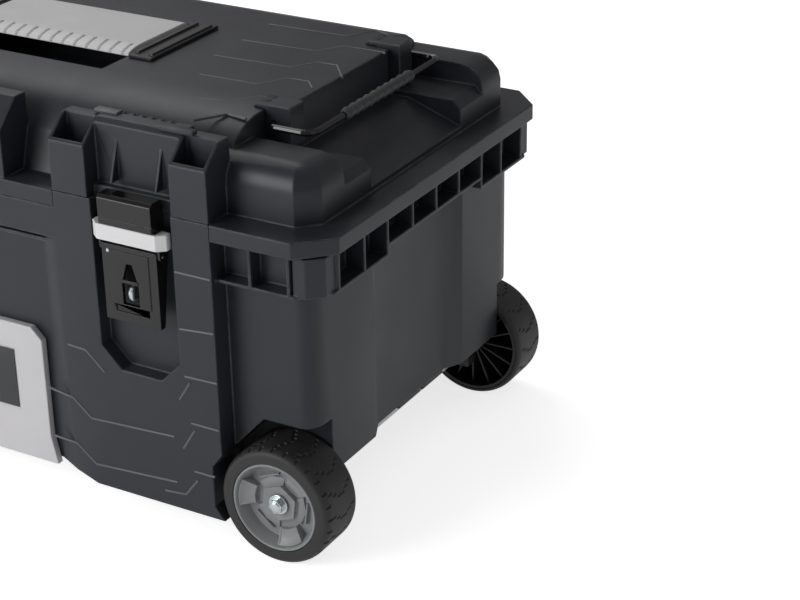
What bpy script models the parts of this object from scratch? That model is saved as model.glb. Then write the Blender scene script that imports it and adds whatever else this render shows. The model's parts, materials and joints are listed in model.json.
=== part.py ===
# Rolling toolbox: long moulded case on two wheels, hinged lid, two draw latches,
# a folding bail at the wheel end, a fold-flat carry handle and a pull-out towing handle.
# Metres, +Z up, +X towards the wheels, the latches face -Y, the ground is z = 0.

import math

import bmesh
import bpy
from mathutils import Matrix, Vector

# Driving sizes
length = 0.780
depth = 0.400
rim_top = 0.3038
seam_gap = 0.0003
overrun = 0.004
wall = 0.004

# Lid rim and the ribbed frame under it
rim_height = 0.015
rim_chamfer = 0.028
rim_skin = 0.0035
frame_set_back = 0.0065
frame_flange = 0.003
frame_cell = 0.032
divider_thickness = 0.003
corner_column_set_back = 0.009
corner_column_size = 0.024
front_divider_set_in = (0.0344, 0.0714)
rear_divider_count = 12
# Places of the dividers along the end, as shares of the depth
end_divider_shares = (0.095, 0.196, 0.291, 0.397, 0.500, 0.603, 0.709, 0.804, 0.905)
# The middle cells at each end are shorter: their floor is raised between these two dividers
raised_cells = (2, 6)
raised_cell_rise = 0.009

# Tub
tub_set_back = 0.021
tub_set_in = 0.025
tub_corner = (0.0145, 0.021)
tub_corner_steps = 4
floor_drop = 0.270
wheel_end_drop = 0.232
raised_floor_drop = 0.218
end_recess_depth = 0.010
end_recess_half = 0.080
end_recess_slant_run = 0.0215

# Front and rear pillars
pillar_near = 0.106
pillar_width = 0.158
pillar_drop = 0.278
pillar_skin = 0.018
pillar_head_depth = 0.0097
pillar_corner_run = 0.022
facet_width = 0.026
bulge_set_back = 0.012
bulge_skin = 0.016
apron_drop = 0.044
nub_size = 0.010
nub_depth = 0.020
nub_height = 0.004
nub_share = (0.12, 0.60)

# Recess for each latch
recess_near = 0.1435
recess_width = 0.0815
recess_depth = 0.014
recess_drop = 0.155
recess_corner = 0.020

# Wheels and axle
wheel_radius = 0.0541
wheel_width = 0.0475
hub_radius = 0.0412
axle_set_in = 0.0553
axle_radius = 0.005
well_depth = 0.049
well_top_clearance = 0.016
# Heights of the arch's heel, waist and shoulder over the axle, as shares of the wheel's radius
arch_corner_shares = (-0.296, 0.438, 0.678)
well_bite = 0.010
well_slope_run = 0.031
clip_width = 0.016
clip_length = 0.028
clip_below_axle = 0.010
clip_inset = 0.062
bore_clearance = 0.0003
running_clearance = 0.0005
# The tyre's rounded shoulders: fall of the radius, and width, at the outer face and at the inner one
tyre_outer_shoulder = (0.0056, 0.008)
tyre_inner_shoulder = (0.003, 0.0055)
tyre_shoulder_steps = 3
tyre_tread = 0.0042
tyre_lip_width = 0.006
rim_lip = 0.0025
hub_dish = 0.013
hub_web = 0.004
hub_barrel = 0.0035
hub_boss_radius = 0.0170
hub_boss_rise = 0.005
hub_tube_radius = 0.011
hub_turn = math.radians(-8)
hub_rib_count = 8
hub_rib_thickness = 0.0025
hub_rib_set_in = 0.006
hub_pad_count = 3
hub_pad_inner = 0.020
hub_pad_outer = 0.037
hub_pad_rise = 0.009
hub_pad_angle_share = 0.115
bolt_radius = 0.0068
bolt_height = 0.0042
bolt_washer_radius = 0.0095
bolt_washer_height = 0.0015
bolt_stand_off = 0.0005

# Feet
foot_length = 0.040
foot_depth = 0.050
foot_from_end = 0.064
foot_from_front = 0.075

# Lid body
plate_rise = 0.066
lid_skin = 0.0035
lid_wall_set_back = 0.028
plate_end_set_in = 0.112
plate_tongue_set_in = 0.098
plate_tongue_margin = 0.122
# Cross-section of the lid wall: set back from the wall's foot, and share of the plate's rise
lid_wall_shares = ((0.0, 0.0), (0.010, 0.50), (0.024, 0.80), (0.037, 0.925), (0.055, 1.0))
boss_rise = 0.048
boss_inner_edge = 0.080
boss_round = 0.022
boss_round_steps = 4
boss_corner = 0.0165
boss_set_in = 0.025
step_rise = 0.029
step_inner_edge = 0.122
step_round = 0.008
pocket_high = 0.024
pocket_low = 0.005
pocket_high_set_in = 0.078

# Latch posts and the wall between them
post_width = 0.0365
post_depth = 0.036
post_front_rise = 0.0455
post_back_rise = 0.064
post_slant_run = 0.021
post_skin = 0.003
post_floor = 0.004
niche_back = 0.011
niche_shelf_rise = 0.009
niche_set_back = 0.0173
niche_top_rise = 0.062
niche_edge_run = 0.005
niche_skin = 0.0035
niche_rib_thickness = 0.0028
niche_rib_foot_rise = 0.0145
niche_rib_top_drop = 0.012
niche_rib_proud = 0.0102
niche_rib_shares = (0.223, 0.755)
notch_play = 0.0003
slot_count = 6
slot_length = 0.0045
slot_depth = 0.007
slot_sink = 0.0025
slot_from_front = 0.036
slot_pitch = 0.0095

# Centre tower on the lid front
tower_half = 0.073
tower_cheek = 0.015
tower_set_back = 0.002
tower_front_rise = 0.042
tower_slant_run = 0.024
tower_niche_depth = 0.013
tower_niche_floor = 0.006

# Carry handle in the plate
handle_half = 0.094
handle_front = 0.158
handle_back = 0.251
handle_proud = 0.005
handle_thickness = 0.020
handle_round = 0.007
handle_skin = 0.004
handle_lip = 0.0065
handle_nose_run = 0.022
handle_nose_fall = 0.005
handle_nose_steps = 5
handle_body_front = 0.192
handle_rib_count = 14
handle_rib_width = 0.0016
handle_rib_proud = 0.0006
handle_pin_from_back = 0.010
handle_pin_radius = 0.003
handle_pin_grip = 0.012
handle_pin_seat = 0.008
handle_side_play = 0.0010
hand_recess_front = 0.118
hand_recess_depth = 0.042
hand_recess_back_play = 0.006
rail_width = 0.025
rail_thickness = 0.003
rail_ridge = 0.002
rail_ridge_width = 0.005
rail_overhang = 0.006

# Bail at the wheel end
bail_pivot_set_in = 0.104
bail_pivot_rise = 0.054
bail_reach = 0.0405
bail_leg_from_front = 0.092
bail_rod_radius = 0.003
bail_bend = 0.009
bail_stub_bend = 0.0055
bail_stub = 0.014
bail_bend_steps = 4
grip_length = 0.114
grip_radius = 0.0058
grip_groove = 0.0009
grip_rib_count = 10
bracket_start = 0.098
bracket_width = 0.022
bracket_depth = 0.024
bracket_foot_rise = 0.046
bracket_lip = 0.012
bracket_lip_thickness = 0.004

# Latches
latch_proud = 0.008
lever_pivot_set_back = 0.009
lever_pivot_drop = 0.030
hook_pivot_set_back = 0.0
hook_pivot_drop = 0.038
lever_half = 0.028
lever_front = -0.005
lever_sheet = 0.003
lever_top_drop = 0.0345
lever_bottom_drop = 0.104
flange_thickness = 0.0018
flange_foot = 0.0035
ear_radius = 0.0043
lever_pin_radius = 0.002
lever_panel_margin = 0.008
lever_panel_proud = 0.0012
lock_slot_half = 0.0085
lock_slot_top_drop = 0.049
lock_slot_bottom_drop = 0.087
finger_slot_half = 0.0172
finger_slot_height = 0.0068
finger_slot_from_bottom = 0.0088
hook_arm_gap = 0.0006
hook_arm_thickness = 0.0025
hook_arm_radius = 0.0042
hook_pin_radius = 0.0015
hook_pin_proud = 0.0004
band_front_half = 0.030
band_wing_half = 0.0375
band_wing_back = 0.004
band_top_drop = 0.0165
band_bottom_drop = 0.0308
band_skin = 0.003
cap_half = 0.027
cap_rise = 0.010
cap_back = 0.0095
cap_edge = 0.003
cap_groove_drop = 0.010
cap_groove_height = 0.0012
cap_groove_depth = 0.001
staple_half = 0.006
staple_rod = 0.0025
staple_drop = 0.0765
staple_out = 0.019
staple_steps = 8

# Rear hinges
hinge_places_share = (-0.62, 0.0, 0.62)
hinge_radius = 0.007
hinge_drop = 0.022
hinge_middle_half = 0.012
hinge_outer_half = 0.028
hinge_side_gap = 0.0004
hinge_pin_radius = 0.0025
hinge_clear_radius = 0.0105
hinge_block_half = 0.034
hinge_block_depth = 0.030
hinge_arm_top_drop = 0.003
hinge_pin_end_gap = 0.0006

# Label plate on the front
label_side_gap = 0.006
label_top_drop = 0.140
label_corner = 0.011
label_flare = 0.006
label_flare_height = 0.028
label_bottom_drop = 0.274
label_proud = 0.007
label_window_half = 0.062
label_window_top_drop = 0.166
label_window_bottom_drop = 0.227
label_window_sink = 0.0012

# Seal between lid and frame
seal_set_in = 0.014
seal_width = 0.004
seal_gap = 0.0003

# Towing handle under the floor
tube_half_spacing = 0.085
tube_radius = 0.007
tube_skin = 0.0015
tube_above_floor = 0.013
tube_end_gap = 0.008
channel_half = 0.011
channel_height = 0.025
channel_end_gap = 0.014
guide_length = 0.030
guide_set_in = (0.105, 0.255)
scoop_depth = 0.053
scoop_side_play = 0.005
scoop_height = 0.046
tow_bar_past_tube = 0.015
tow_bar_thickness = 0.024
tow_bar_height = 0.026
tow_bar_below = 0.007
tow_bar_round = 0.006
tow_bar_end_gap = 0.001
tube_seat = 0.008
button_half = 0.016
button_width = 0.010
button_height = 0.007
button_travel = 0.003
button_play = 0.0004
button_sink = 0.0065

round_sides = 24
small_sides = 14
tyre_sides = 40

half_length = length / 2
half_depth = depth / 2
tow_bar_half = tube_half_spacing + tow_bar_past_tube
scoop_half = tow_bar_half + scoop_side_play


def from_end(distance):
    return half_length - distance


def from_front(distance):
    return distance - half_depth


def above_rim(distance):
    return rim_top + distance


def below_rim(distance):
    return rim_top - distance


# Primitive solids, each its own bmesh

def block(x_span, y_span, z_span):
    solid = bmesh.new()
    bmesh.ops.create_cube(solid, size=1)
    size = [high - low for low, high in (x_span, y_span, z_span)]
    middle = [(high + low) / 2 for low, high in (x_span, y_span, z_span)]
    bmesh.ops.scale(solid, vec=size, verts=solid.verts)
    bmesh.ops.translate(solid, vec=middle, verts=solid.verts)
    return solid


def prism(outline, axis, span):
    """outline is (y, z) for axis X, (x, z) for axis Y and (x, y) for axis Z."""
    solid = bmesh.new()
    low, high = sorted(span)
    place = {"X": lambda a, b: (low, a, b), "Y": lambda a, b: (a, low, b), "Z": lambda a, b: (a, b, low)}[axis]
    face = solid.faces.new([solid.verts.new(place(a, b)) for a, b in outline])
    grown = bmesh.ops.extrude_face_region(solid, geom=[face])
    moved = [item for item in grown["geom"] if isinstance(item, bmesh.types.BMVert)]
    step = {"X": Vector((1, 0, 0)), "Y": Vector((0, 1, 0)), "Z": Vector((0, 0, 1))}[axis] * (high - low)
    bmesh.ops.translate(solid, vec=step, verts=moved)
    bmesh.ops.recalc_face_normals(solid, faces=solid.faces)
    return solid


def rod(axis, centre, radius, span, sides=round_sides, turn=0):
    """centre is the rod's place in the plane across its axis, in the order of prism."""
    turn = [turn + 2 * math.pi * (step + 0.5) / sides for step in range(sides)]
    outline = [(centre[0] + radius * math.cos(a), centre[1] + radius * math.sin(a)) for a in turn]
    return prism(outline, axis, span)


def turned(profile, centre, direction, sides):
    """Turn a closed (radius, distance) profile about a line along Y through centre."""
    solid = bmesh.new()
    ring = [solid.verts.new((centre[0] + radius, centre[1] + direction * along, centre[2]))
            for radius, along in profile]
    edges = [solid.edges.new((ring[i], ring[(i + 1) % len(ring)])) for i in range(len(ring))]
    bmesh.ops.spin(solid, geom=ring + edges, cent=centre, axis=(0, 1, 0), angle=2 * math.pi,
                   steps=sides, use_merge=True, use_duplicate=False)
    bmesh.ops.remove_doubles(solid, verts=solid.verts, dist=1e-7)
    bmesh.ops.recalc_face_normals(solid, faces=solid.faces)
    return solid


def rounded(solid, wanted, radius, segments):
    """Bevel the edges for which wanted(edge middle, edge direction) holds."""
    edges = []
    for edge in solid.edges:
        first, second = (vert.co for vert in edge.verts)
        if wanted((first + second) / 2, (second - first).normalized()):
            edges.append(edge)
    bmesh.ops.bevel(solid, geom=edges, offset=radius, offset_type="OFFSET", segments=segments,
                    profile=0.5, affect="EDGES", material=-1)
    return solid


def mirrored(solid, axis):
    """The same solid on the other side of the middle plane across axis."""
    copy = solid.copy()
    factor = [-1 if name == axis else 1 for name in "XYZ"]
    bmesh.ops.scale(copy, vec=factor, verts=copy.verts)
    bmesh.ops.reverse_faces(copy, faces=copy.faces)
    return copy


def both(solid, axis):
    return [solid, mirrored(solid, axis)]


def all_four(solid):
    pair = both(solid, "X")
    return pair + [mirrored(item, "Y") for item in pair]


def chamfered_rectangle(half_x, half_y, corner):
    points = [(half_x, half_y - corner), (half_x - corner, half_y)]
    points += [(-x, y) for x, y in reversed(points)]
    return points + [(-x, -y) for x, y in points]


def rim_outline(inset):
    corner = rim_chamfer - inset * (2 - math.sqrt(2))
    return chamfered_rectangle(half_length - inset, half_depth - inset, corner)


def tub_corner_points(inset):
    """The rounded corner of the tub at +X and -Y, from the long wall round to the end wall."""
    run_x, run_y = (run - inset for run in tub_corner)
    middle = (from_end(tub_set_in + tub_corner[0]), from_front(tub_set_back + tub_corner[1]))
    turns = [math.pi / 2 * step / tub_corner_steps for step in range(tub_corner_steps + 1)]
    return [(middle[0] + run_x * math.sin(turn), middle[1] - run_y * math.cos(turn)) for turn in turns]


def tub_outline(inset):
    corner = tub_corner_points(inset)
    end = corner + [(x, -y) for x, y in reversed(corner)]
    return end + [(-x, y) for x, y in reversed(end)]


# Objects

def to_object(name, solid):
    mesh = bpy.data.meshes.new(name)
    solid.to_mesh(mesh)
    solid.free()
    thing = bpy.data.objects.new(name, mesh)
    bpy.context.scene.collection.objects.link(thing)
    return thing


def joined(solids):
    whole = bmesh.new()
    for solid in solids:
        carrier = bpy.data.meshes.new("carrier")
        solid.to_mesh(carrier)
        solid.free()
        whole.from_mesh(carrier)
        bpy.data.meshes.remove(carrier)
    return whole


def combine(thing, solids, operation):
    tool = to_object("tool", joined(solids))
    change = thing.modifiers.new(operation.title(), "BOOLEAN")
    change.operation = operation
    change.solver = "EXACT"
    change.use_self = True
    change.object = tool
    bpy.context.view_layer.update()
    seen = thing.evaluated_get(bpy.context.evaluated_depsgraph_get())
    fresh = bpy.data.meshes.new_from_object(seen)
    thing.modifiers.remove(change)
    spent = thing.data
    thing.data = fresh
    bpy.data.meshes.remove(spent)
    spent = tool.data
    bpy.data.objects.remove(tool)
    bpy.data.meshes.remove(spent)


def tidy(thing):
    """Merge what the cuts left behind, so flat faces carry no spare edges."""
    solid = bmesh.new()
    solid.from_mesh(thing.data)
    bmesh.ops.remove_doubles(solid, verts=solid.verts, dist=2e-6)
    bmesh.ops.dissolve_limit(solid, angle_limit=math.radians(0.05), verts=solid.verts, edges=solid.edges)
    bmesh.ops.dissolve_degenerate(solid, edges=solid.edges, dist=1e-6)
    bmesh.ops.triangulate(solid, faces=solid.faces, quad_method="BEAUTY", ngon_method="BEAUTY")
    solid.to_mesh(thing.data)
    solid.free()


def build(name, paint, *stages, origin=(0, 0, 0), parent=None, soft_angle=None):
    """Fuse the first list of solids, then cut, fuse and cut with each list that follows."""
    first, *rest = stages[0]
    thing = to_object(name, first)
    if rest:
        combine(thing, rest, "UNION")
    for index, solids in enumerate(stages[1:]):
        if solids:
            combine(thing, solids, "UNION" if index % 2 else "DIFFERENCE")
    if rest or len(stages) > 1:
        tidy(thing)
    thing.data.name = name
    thing.data.materials.clear()
    thing.data.materials.append(paint)
    thing.data.transform(Matrix.Translation(-Vector(origin)))
    thing.location = origin
    if soft_angle is not None:
        thing.data.shade_smooth()
        thing.data.set_sharp_from_angle(angle=soft_angle)
    if parent is not None:
        thing.parent = parent
        thing.location = Vector(origin) - parent.location
    return thing


def pivot(name, place):
    empty = bpy.data.objects.new(name, None)
    empty.location = place
    empty.empty_display_size = wheel_radius
    bpy.context.scene.collection.objects.link(empty)
    return empty


def paint(name, colour, roughness, metallic=0.0):
    material = bpy.data.materials.new(name)
    material.use_nodes = True
    shader = material.node_tree.nodes["Principled BSDF"]
    shader.inputs["Base Color"].default_value = (*colour, 1)
    shader.inputs["Roughness"].default_value = roughness
    shader.inputs["Metallic"].default_value = metallic
    return material


# Case

def frame_foot():
    return below_rim(rim_height + 2 * frame_flange + frame_cell)


def end_divider_places():
    return [from_front(depth * share) for share in end_divider_shares]


def raised_cell_span(inset):
    first, last = (end_divider_places()[index] for index in raised_cells)
    return first + inset, last - inset


def rim_frame():
    """Two flanges round the mouth of the tub, and the dividers between them."""
    upper = below_rim(rim_height)
    lower = frame_foot()
    edge = frame_set_back
    solids = [prism(rim_outline(edge), "Z", (upper - frame_flange, upper)),
              prism(rim_outline(edge), "Z", (lower, lower + frame_flange))]
    cell = (lower + frame_flange / 2, upper - frame_flange / 2)
    inward = tub_set_back + wall / 2
    for place in front_divider_set_in:
        near = from_end(place)
        span = (near - divider_thickness, near)
        solids += both(block(span, (from_front(edge), from_front(inward)), cell), "X")
    half = divider_thickness / 2
    reach = (from_end(tub_set_in + wall / 2), from_end(edge))
    for place in end_divider_places():
        solids += both(block(reach, (place - half, place + half), cell), "X")
    step = lower + raised_cell_rise
    solids += both(block(reach, raised_cell_span(0), (step, step + frame_flange)), "X")
    run = length - 2 * rim_chamfer
    for index in range(rear_divider_count + 1):
        middle = run * (index / rear_divider_count - 0.5)
        solids.append(block((middle - half, middle + half), (half_depth - inward, half_depth - edge), cell))
    back = corner_column_set_back
    size = corner_column_size
    inner = from_front(back + size + wall)
    column = [(from_end(back), from_front(back + size / 2)), (from_end(back + size / 2), from_front(back)),
              (from_end(back + size), from_front(back)), (from_end(back + size), inner), (from_end(back), inner)]
    solids += all_four(prism(column, "Z", cell))
    return solids


def pillar_solids():
    """The two front pillars with their side facets, and plainer ones at the rear."""
    near = pillar_near
    far = near + pillar_width
    foot = below_rim(pillar_drop)
    seam = below_rim(rim_height)
    shelf = foot + (pillar_drop - floor_drop)
    inner = from_front(tub_set_back + wall)
    plan = [(from_end(near), from_front(0)), (from_end(near), inner), (from_end(far + facet_width), inner),
            (from_end(far + facet_width), from_front(bulge_set_back)), (from_end(far), from_front(0))]
    solids = both(prism(plan, "Z", (shelf, seam)), "X")
    sole = [(from_end(near), shelf + overrun), (from_end(near), foot), (from_end(far - pillar_corner_run), foot),
            (from_end(far), shelf), (from_end(far), shelf + overrun)]
    solids += all_four(prism(sole, "Y", (from_front(0), inner)))
    solids += both(block((from_end(far), from_end(near)), (from_front(0), from_front(pillar_head_depth)),
                         (seam - overrun, rim_top)), "X")
    rear = block((from_end(far), from_end(near)), (-inner, half_depth), (shelf, frame_foot() + frame_flange))
    solids += both(rear, "X")
    for share in nub_share:
        middle = near + pillar_width * share
        nub = block((from_end(middle + nub_size), from_end(middle)),
                    (from_front(nub_depth / 2), from_front(3 * nub_depth / 2)),
                    (foot - nub_height, foot + nub_height))
        solids += all_four(nub)
    return solids


def pillar_rooms(low, seam):
    """The hollows in the pillars: behind each latch recess, below it, beside it, and at the rear."""
    far_x = from_end(pillar_near + pillar_width)
    near_x = from_end(pillar_near + well_bite) - wall
    depth_span = (from_front(wall), from_front(tub_set_back + 2 * wall))
    solids = [block((far_x, near_x), (from_front(pillar_skin), depth_span[1]), (low, seam + overrun)),
              block((far_x, near_x), depth_span, (low, below_rim(recess_drop) - wall)),
              block((far_x, from_end(recess_near + recess_width) - wall), depth_span, (low, seam - wall)),
              block((from_end(recess_near) + wall, near_x), depth_span, (low, seam - wall)),
              block((far_x + wall, near_x), (-depth_span[1], -depth_span[0]),
                    (low, frame_foot() - wall))]
    return [copy for solid in solids for copy in both(solid, "X")]


def end_recess(grow, reach):
    """Plan of the shallow recess in the end wall, with slanted sides; grow is the wall behind it."""
    face = half_length - tub_set_in
    mouth = end_recess_half + grow
    bottom = mouth - end_recess_slant_run
    half = [(face + reach, mouth), (face, mouth), (face - end_recess_depth - grow, bottom)]
    return half[0 if reach else 1:] + [(x, -y) for x, y in reversed(half[0 if reach else 1:])]


def axle_place():
    return from_end(axle_set_in), wheel_radius


def arch_top():
    return 2 * wheel_radius + well_top_clearance


def well_outline():
    """The wheel arch seen from the front, with the bite it takes from the pillar."""
    near = pillar_near
    heel, waist, shoulder = (wheel_radius * (1 + share) for share in arch_corner_shares)
    return [(from_end(near), below_rim(pillar_drop + overrun)), (from_end(near), below_rim(pillar_drop)),
            (from_end(near + well_bite), heel), (from_end(near + well_bite), waist), (from_end(near), shoulder),
            (from_end(near - well_slope_run), arch_top()), (half_length + overrun, arch_top()),
            (half_length + overrun, below_rim(pillar_drop + overrun))]


def latch_recess():
    near = recess_near
    far = near + recess_width
    bottom = below_rim(recess_drop)
    outline = [(from_end(near), rim_top + overrun), (from_end(near), bottom + recess_corner),
               (from_end(near + recess_corner), bottom), (from_end(far - recess_corner), bottom),
               (from_end(far), bottom + recess_corner), (from_end(far), rim_top + overrun)]
    return prism(outline, "Y", (from_front(-overrun), from_front(recess_depth)))


def channel_end():
    return from_end(pillar_near) - channel_end_gap


def hinge_line():
    return half_depth + latch_proud - hinge_radius, below_rim(hinge_drop)


def hinge_middles():
    return [half_length * share for share in hinge_places_share]


def make_case(plastic):
    seam = below_rim(rim_height)
    floor = below_rim(floor_drop)
    wheel_floor = below_rim(wheel_end_drop)
    step = from_end(pillar_near)
    inner_y = half_depth - tub_set_back - wall
    solids = [prism(tub_outline(0), "Z", (floor, seam))]
    solids += pillar_solids()
    solids += rim_frame()
    bulge = from_end(pillar_near + pillar_width + facet_width) + overrun
    solids.append(block((-bulge, bulge), (from_front(bulge_set_back), -inner_y), (floor, seam - frame_flange)))
    solids.append(block((-bulge - facet_width, bulge + facet_width), (from_front(0), -inner_y),
                        (below_rim(apron_drop), seam)))
    axis_y, axis_z = hinge_line()
    for middle in hinge_middles():
        span = (middle - hinge_block_half, middle + hinge_block_half)
        low = frame_foot()
        solids.append(block(span, (half_depth - hinge_block_depth, half_depth), (low, seam)))
        span = (middle - hinge_outer_half, middle + hinge_outer_half)
        solids.append(rod("X", (axis_y, axis_z), hinge_radius, span))
        tail = [(half_depth - overrun, axis_z), (axis_y + hinge_radius, axis_z), (half_depth - overrun, low)]
        solids.append(prism(tail, "X", span))

    far_end = [(x, y) for x, y in tub_outline(wall) if x < 0]
    deep_room = far_end + [(step - wall, -inner_y), (step - wall, inner_y)]
    hollow = [prism(deep_room, "Z", (floor + wall, seam + overrun)),
              prism(tub_outline(wall), "Z", (below_rim(raised_floor_drop) + wall, seam + overrun))]
    hollow += pillar_rooms(floor + wall, seam)
    hollow.append(block((-bulge, bulge), (from_front(bulge_skin), -inner_y + overrun),
                        (floor + wall, seam + overrun)))
    hollow.append(block((-bulge, bulge), (from_front(wall), -inner_y + overrun),
                        (below_rim(apron_drop) + wall, seam + overrun)))
    hollow.append(block((step, half_length + overrun), (-half_depth, half_depth), (0, wheel_floor)))

    # Boxes round the wheel wells, end recesses, towing channels and scoop, kept as walls inside the tub
    top = frame_foot() + raised_cell_rise
    boxes = both(prism(end_recess(wall, 0), "Z", (wheel_floor, top + frame_flange)), "X")
    inner = from_front(well_depth + wall)
    plan = [(step - well_bite - wall, from_front(tub_set_back)), *tub_corner_points(0),
            (half_length - tub_set_in, inner), (step - well_bite - wall, inner)]
    boxes += both(prism(plan, "Z", (wheel_floor, arch_top() + wall)), "Y")
    heel = block((step - well_bite - wall, step), (from_front(tub_set_back), from_front(well_depth + wall)),
                 (floor, wheel_floor + overrun))
    boxes += both(heel, "Y")
    scoop_end = -from_end(tub_set_in + scoop_depth - overrun)
    channel_top = floor + channel_height
    channel = block((scoop_end - wall, channel_end() + wall),
                    (tube_half_spacing - channel_half - wall, tube_half_spacing + channel_half + wall),
                    (floor, channel_top + wall))
    boxes += both(channel, "Y")
    boxes.append(block((-from_end(tub_set_in + wall / 2), scoop_end + wall),
                       (-scoop_half - wall, scoop_half + wall), (floor, floor + scoop_height + wall)))

    cuts = both(prism(well_outline(), "Y", (from_front(-overrun), from_front(well_depth))), "Y")
    lip = from_end(tub_set_in + wall)
    behind = [(min(x, lip), y) for x, y in reversed(end_recess(wall, 0))]
    under = [(step + seam_gap, inner), (lip, inner), *behind, (lip, -inner), (step + seam_gap, -inner)]
    cuts.append(prism(under, "Z", (0, below_rim(raised_floor_drop))))
    cuts += both(prism(end_recess(0, overrun), "Z", (0, top)), "X")
    cuts += both(block((half_length - tub_set_in, half_length), raised_cell_span(divider_thickness / 2),
                       (frame_foot() - overrun, top)), "X")
    channel = block((scoop_end - overrun, channel_end()),
                    (tube_half_spacing - channel_half, tube_half_spacing + channel_half), (0, channel_top))
    cuts += both(channel, "Y")
    cuts.append(block((-half_length, scoop_end), (-scoop_half, scoop_half), (0, floor + scoop_height)))
    cuts += both(latch_recess(), "X")
    for middle in hinge_middles():
        half = hinge_middle_half + hinge_side_gap
        cuts.append(rod("X", (axis_y, axis_z), hinge_clear_radius, (middle - half, middle + half)))
        cuts.append(rod("X", (axis_y, axis_z), hinge_pin_radius + bore_clearance,
                        (middle - hinge_outer_half - overrun, middle + hinge_outer_half + overrun), small_sides))
    pin_y = from_front(lever_pivot_set_back)
    pin_z = below_rim(lever_pivot_drop)
    for side in (1, -1):
        middle = side * latch_middle()
        reach = recess_width / 2 + overrun
        cuts.append(rod("X", (pin_y, pin_z), lever_pin_radius + bore_clearance, (middle - reach, middle + reach),
                        small_sides))
    return build("case_shell", plastic, solids, hollow, boxes, cuts)


# Lid

def lid_section(shrink, foot):
    """Half section of the lid wall from its foot to the plate, then its mirror image."""
    points = [(from_front(lid_wall_set_back + shrink), foot)]
    for run, share in lid_wall_shares:
        rise = plate_rise * share - shrink * share
        points.append((from_front(lid_wall_set_back + run + shrink), above_rim(rise)))
    return points + [(-y, z) for y, z in reversed(points)]


def lid_boss(inset):
    low = below_rim(rim_height) if inset else above_rim(-rim_skin)
    solid = block((from_end(plate_end_set_in + lid_skin + overrun) + inset, from_end(boss_set_in + inset)),
                  (from_front(lid_wall_set_back + inset), from_front(boss_inner_edge - inset)),
                  (low - (overrun if inset else 0), above_rim(boss_rise - inset)))
    top = above_rim(boss_rise - inset)
    front = from_front(lid_wall_set_back + inset)
    end = from_end(boss_set_in + inset)

    def corner(middle, line):
        return abs(middle.y - front) < seam_gap and abs(middle.x - end) < seam_gap
    solid = rounded(solid, corner, boss_corner - inset * (2 - math.sqrt(2)), 1)

    def brow(middle, line):
        back = abs(line.x) > 0.99 and middle.y > front + seam_gap
        plate = abs(line.y) > 0.99 and middle.x < end - seam_gap
        return abs(middle.z - top) < seam_gap and not (back or plate)
    return rounded(solid, brow, boss_round - inset, boss_round_steps)


def step_section(inset):
    return [(from_end(plate_end_set_in + overrun), above_rim(-rim_skin - overrun)),
            (from_end(plate_end_set_in + overrun), above_rim(step_rise - inset)),
            (from_end(boss_set_in + step_round + inset), above_rim(step_rise - inset)),
            (from_end(boss_set_in + inset), above_rim(step_rise - step_round - inset)),
            (from_end(boss_set_in + inset), above_rim(-rim_skin - overrun))]


def pocket_section(inset):
    return [(from_end(plate_end_set_in + overrun), above_rim(-rim_skin - overrun)),
            (from_end(plate_end_set_in + overrun), above_rim(pocket_high - inset)),
            (from_end(pocket_high_set_in), above_rim(pocket_high - inset)),
            (from_end(boss_set_in + inset), above_rim(pocket_low - inset / 2)),
            (from_end(boss_set_in + inset), above_rim(-rim_skin - overrun))]


def post_far():
    return pillar_near + pillar_width


def post_spans():
    """Near and far edges of the two posts of one latch, set in from the end."""
    return ((pillar_near, pillar_near + post_width), (post_far() - post_width, post_far()))


def latch_middle():
    return from_end(recess_near + recess_width / 2)


def make_post(near, far):
    low = above_rim(-rim_skin)
    section = [(from_front(0), low), (from_front(0), above_rim(post_front_rise)),
               (from_front(post_slant_run), above_rim(post_back_rise)),
               (from_front(post_depth), above_rim(post_back_rise)), (from_front(post_depth), low)]
    return prism(section, "X", (from_end(far), from_end(near)))


def post_room(near, far):
    deep = post_slant_run + post_skin
    return block((from_end(far - post_skin), from_end(near + post_skin)),
                 (from_front(post_skin), from_front(deep)),
                 (above_rim(post_floor), above_rim(plate_rise) + overrun))


def niche_wall():
    """Upright wall behind the latch cap, standing on a shelf at the back of the cap's pocket."""
    low = below_rim(rim_height - seam_gap)
    back = from_front(post_depth)
    shelf = above_rim(niche_shelf_rise)
    section = [(from_front(niche_back), shelf), (from_front(niche_set_back), shelf),
               (from_front(niche_set_back), above_rim(niche_top_rise)),
               (from_front(niche_set_back + niche_edge_run), above_rim(plate_rise)),
               (back + wall, above_rim(plate_rise)), (back + wall, low), (from_front(niche_back), low)]
    near = pillar_near + post_width
    far = post_far() - post_width
    return prism(section, "X", (from_end(far) - seam_gap, from_end(near) + seam_gap))


def niche_ribs():
    """Wedges that stand out from the niche wall and end above the latch cap."""
    near = pillar_near + post_width
    width = pillar_width - 2 * post_width
    solids = []
    for share in niche_rib_shares:
        middle = from_end(near + width * share)
        foot = above_rim(niche_rib_foot_rise)
        head = above_rim(niche_top_rise - niche_rib_top_drop)
        section = [(from_front(niche_set_back - niche_rib_proud), foot), (from_front(niche_set_back), head),
                   (from_front(niche_set_back + niche_skin / 2), head),
                   (from_front(niche_set_back + niche_skin / 2), foot)]
        half = niche_rib_thickness / 2
        solids.append(prism(section, "X", (middle - half, middle + half)))
    return solids


def tower_section():
    low = above_rim(-rim_skin)
    back = from_front(post_depth + wall)
    return [(from_front(tower_set_back), low), (from_front(tower_set_back), above_rim(tower_front_rise)),
            (from_front(tower_set_back + tower_slant_run), above_rim(plate_rise)),
            (back, above_rim(plate_rise)), (back, low)]


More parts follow.
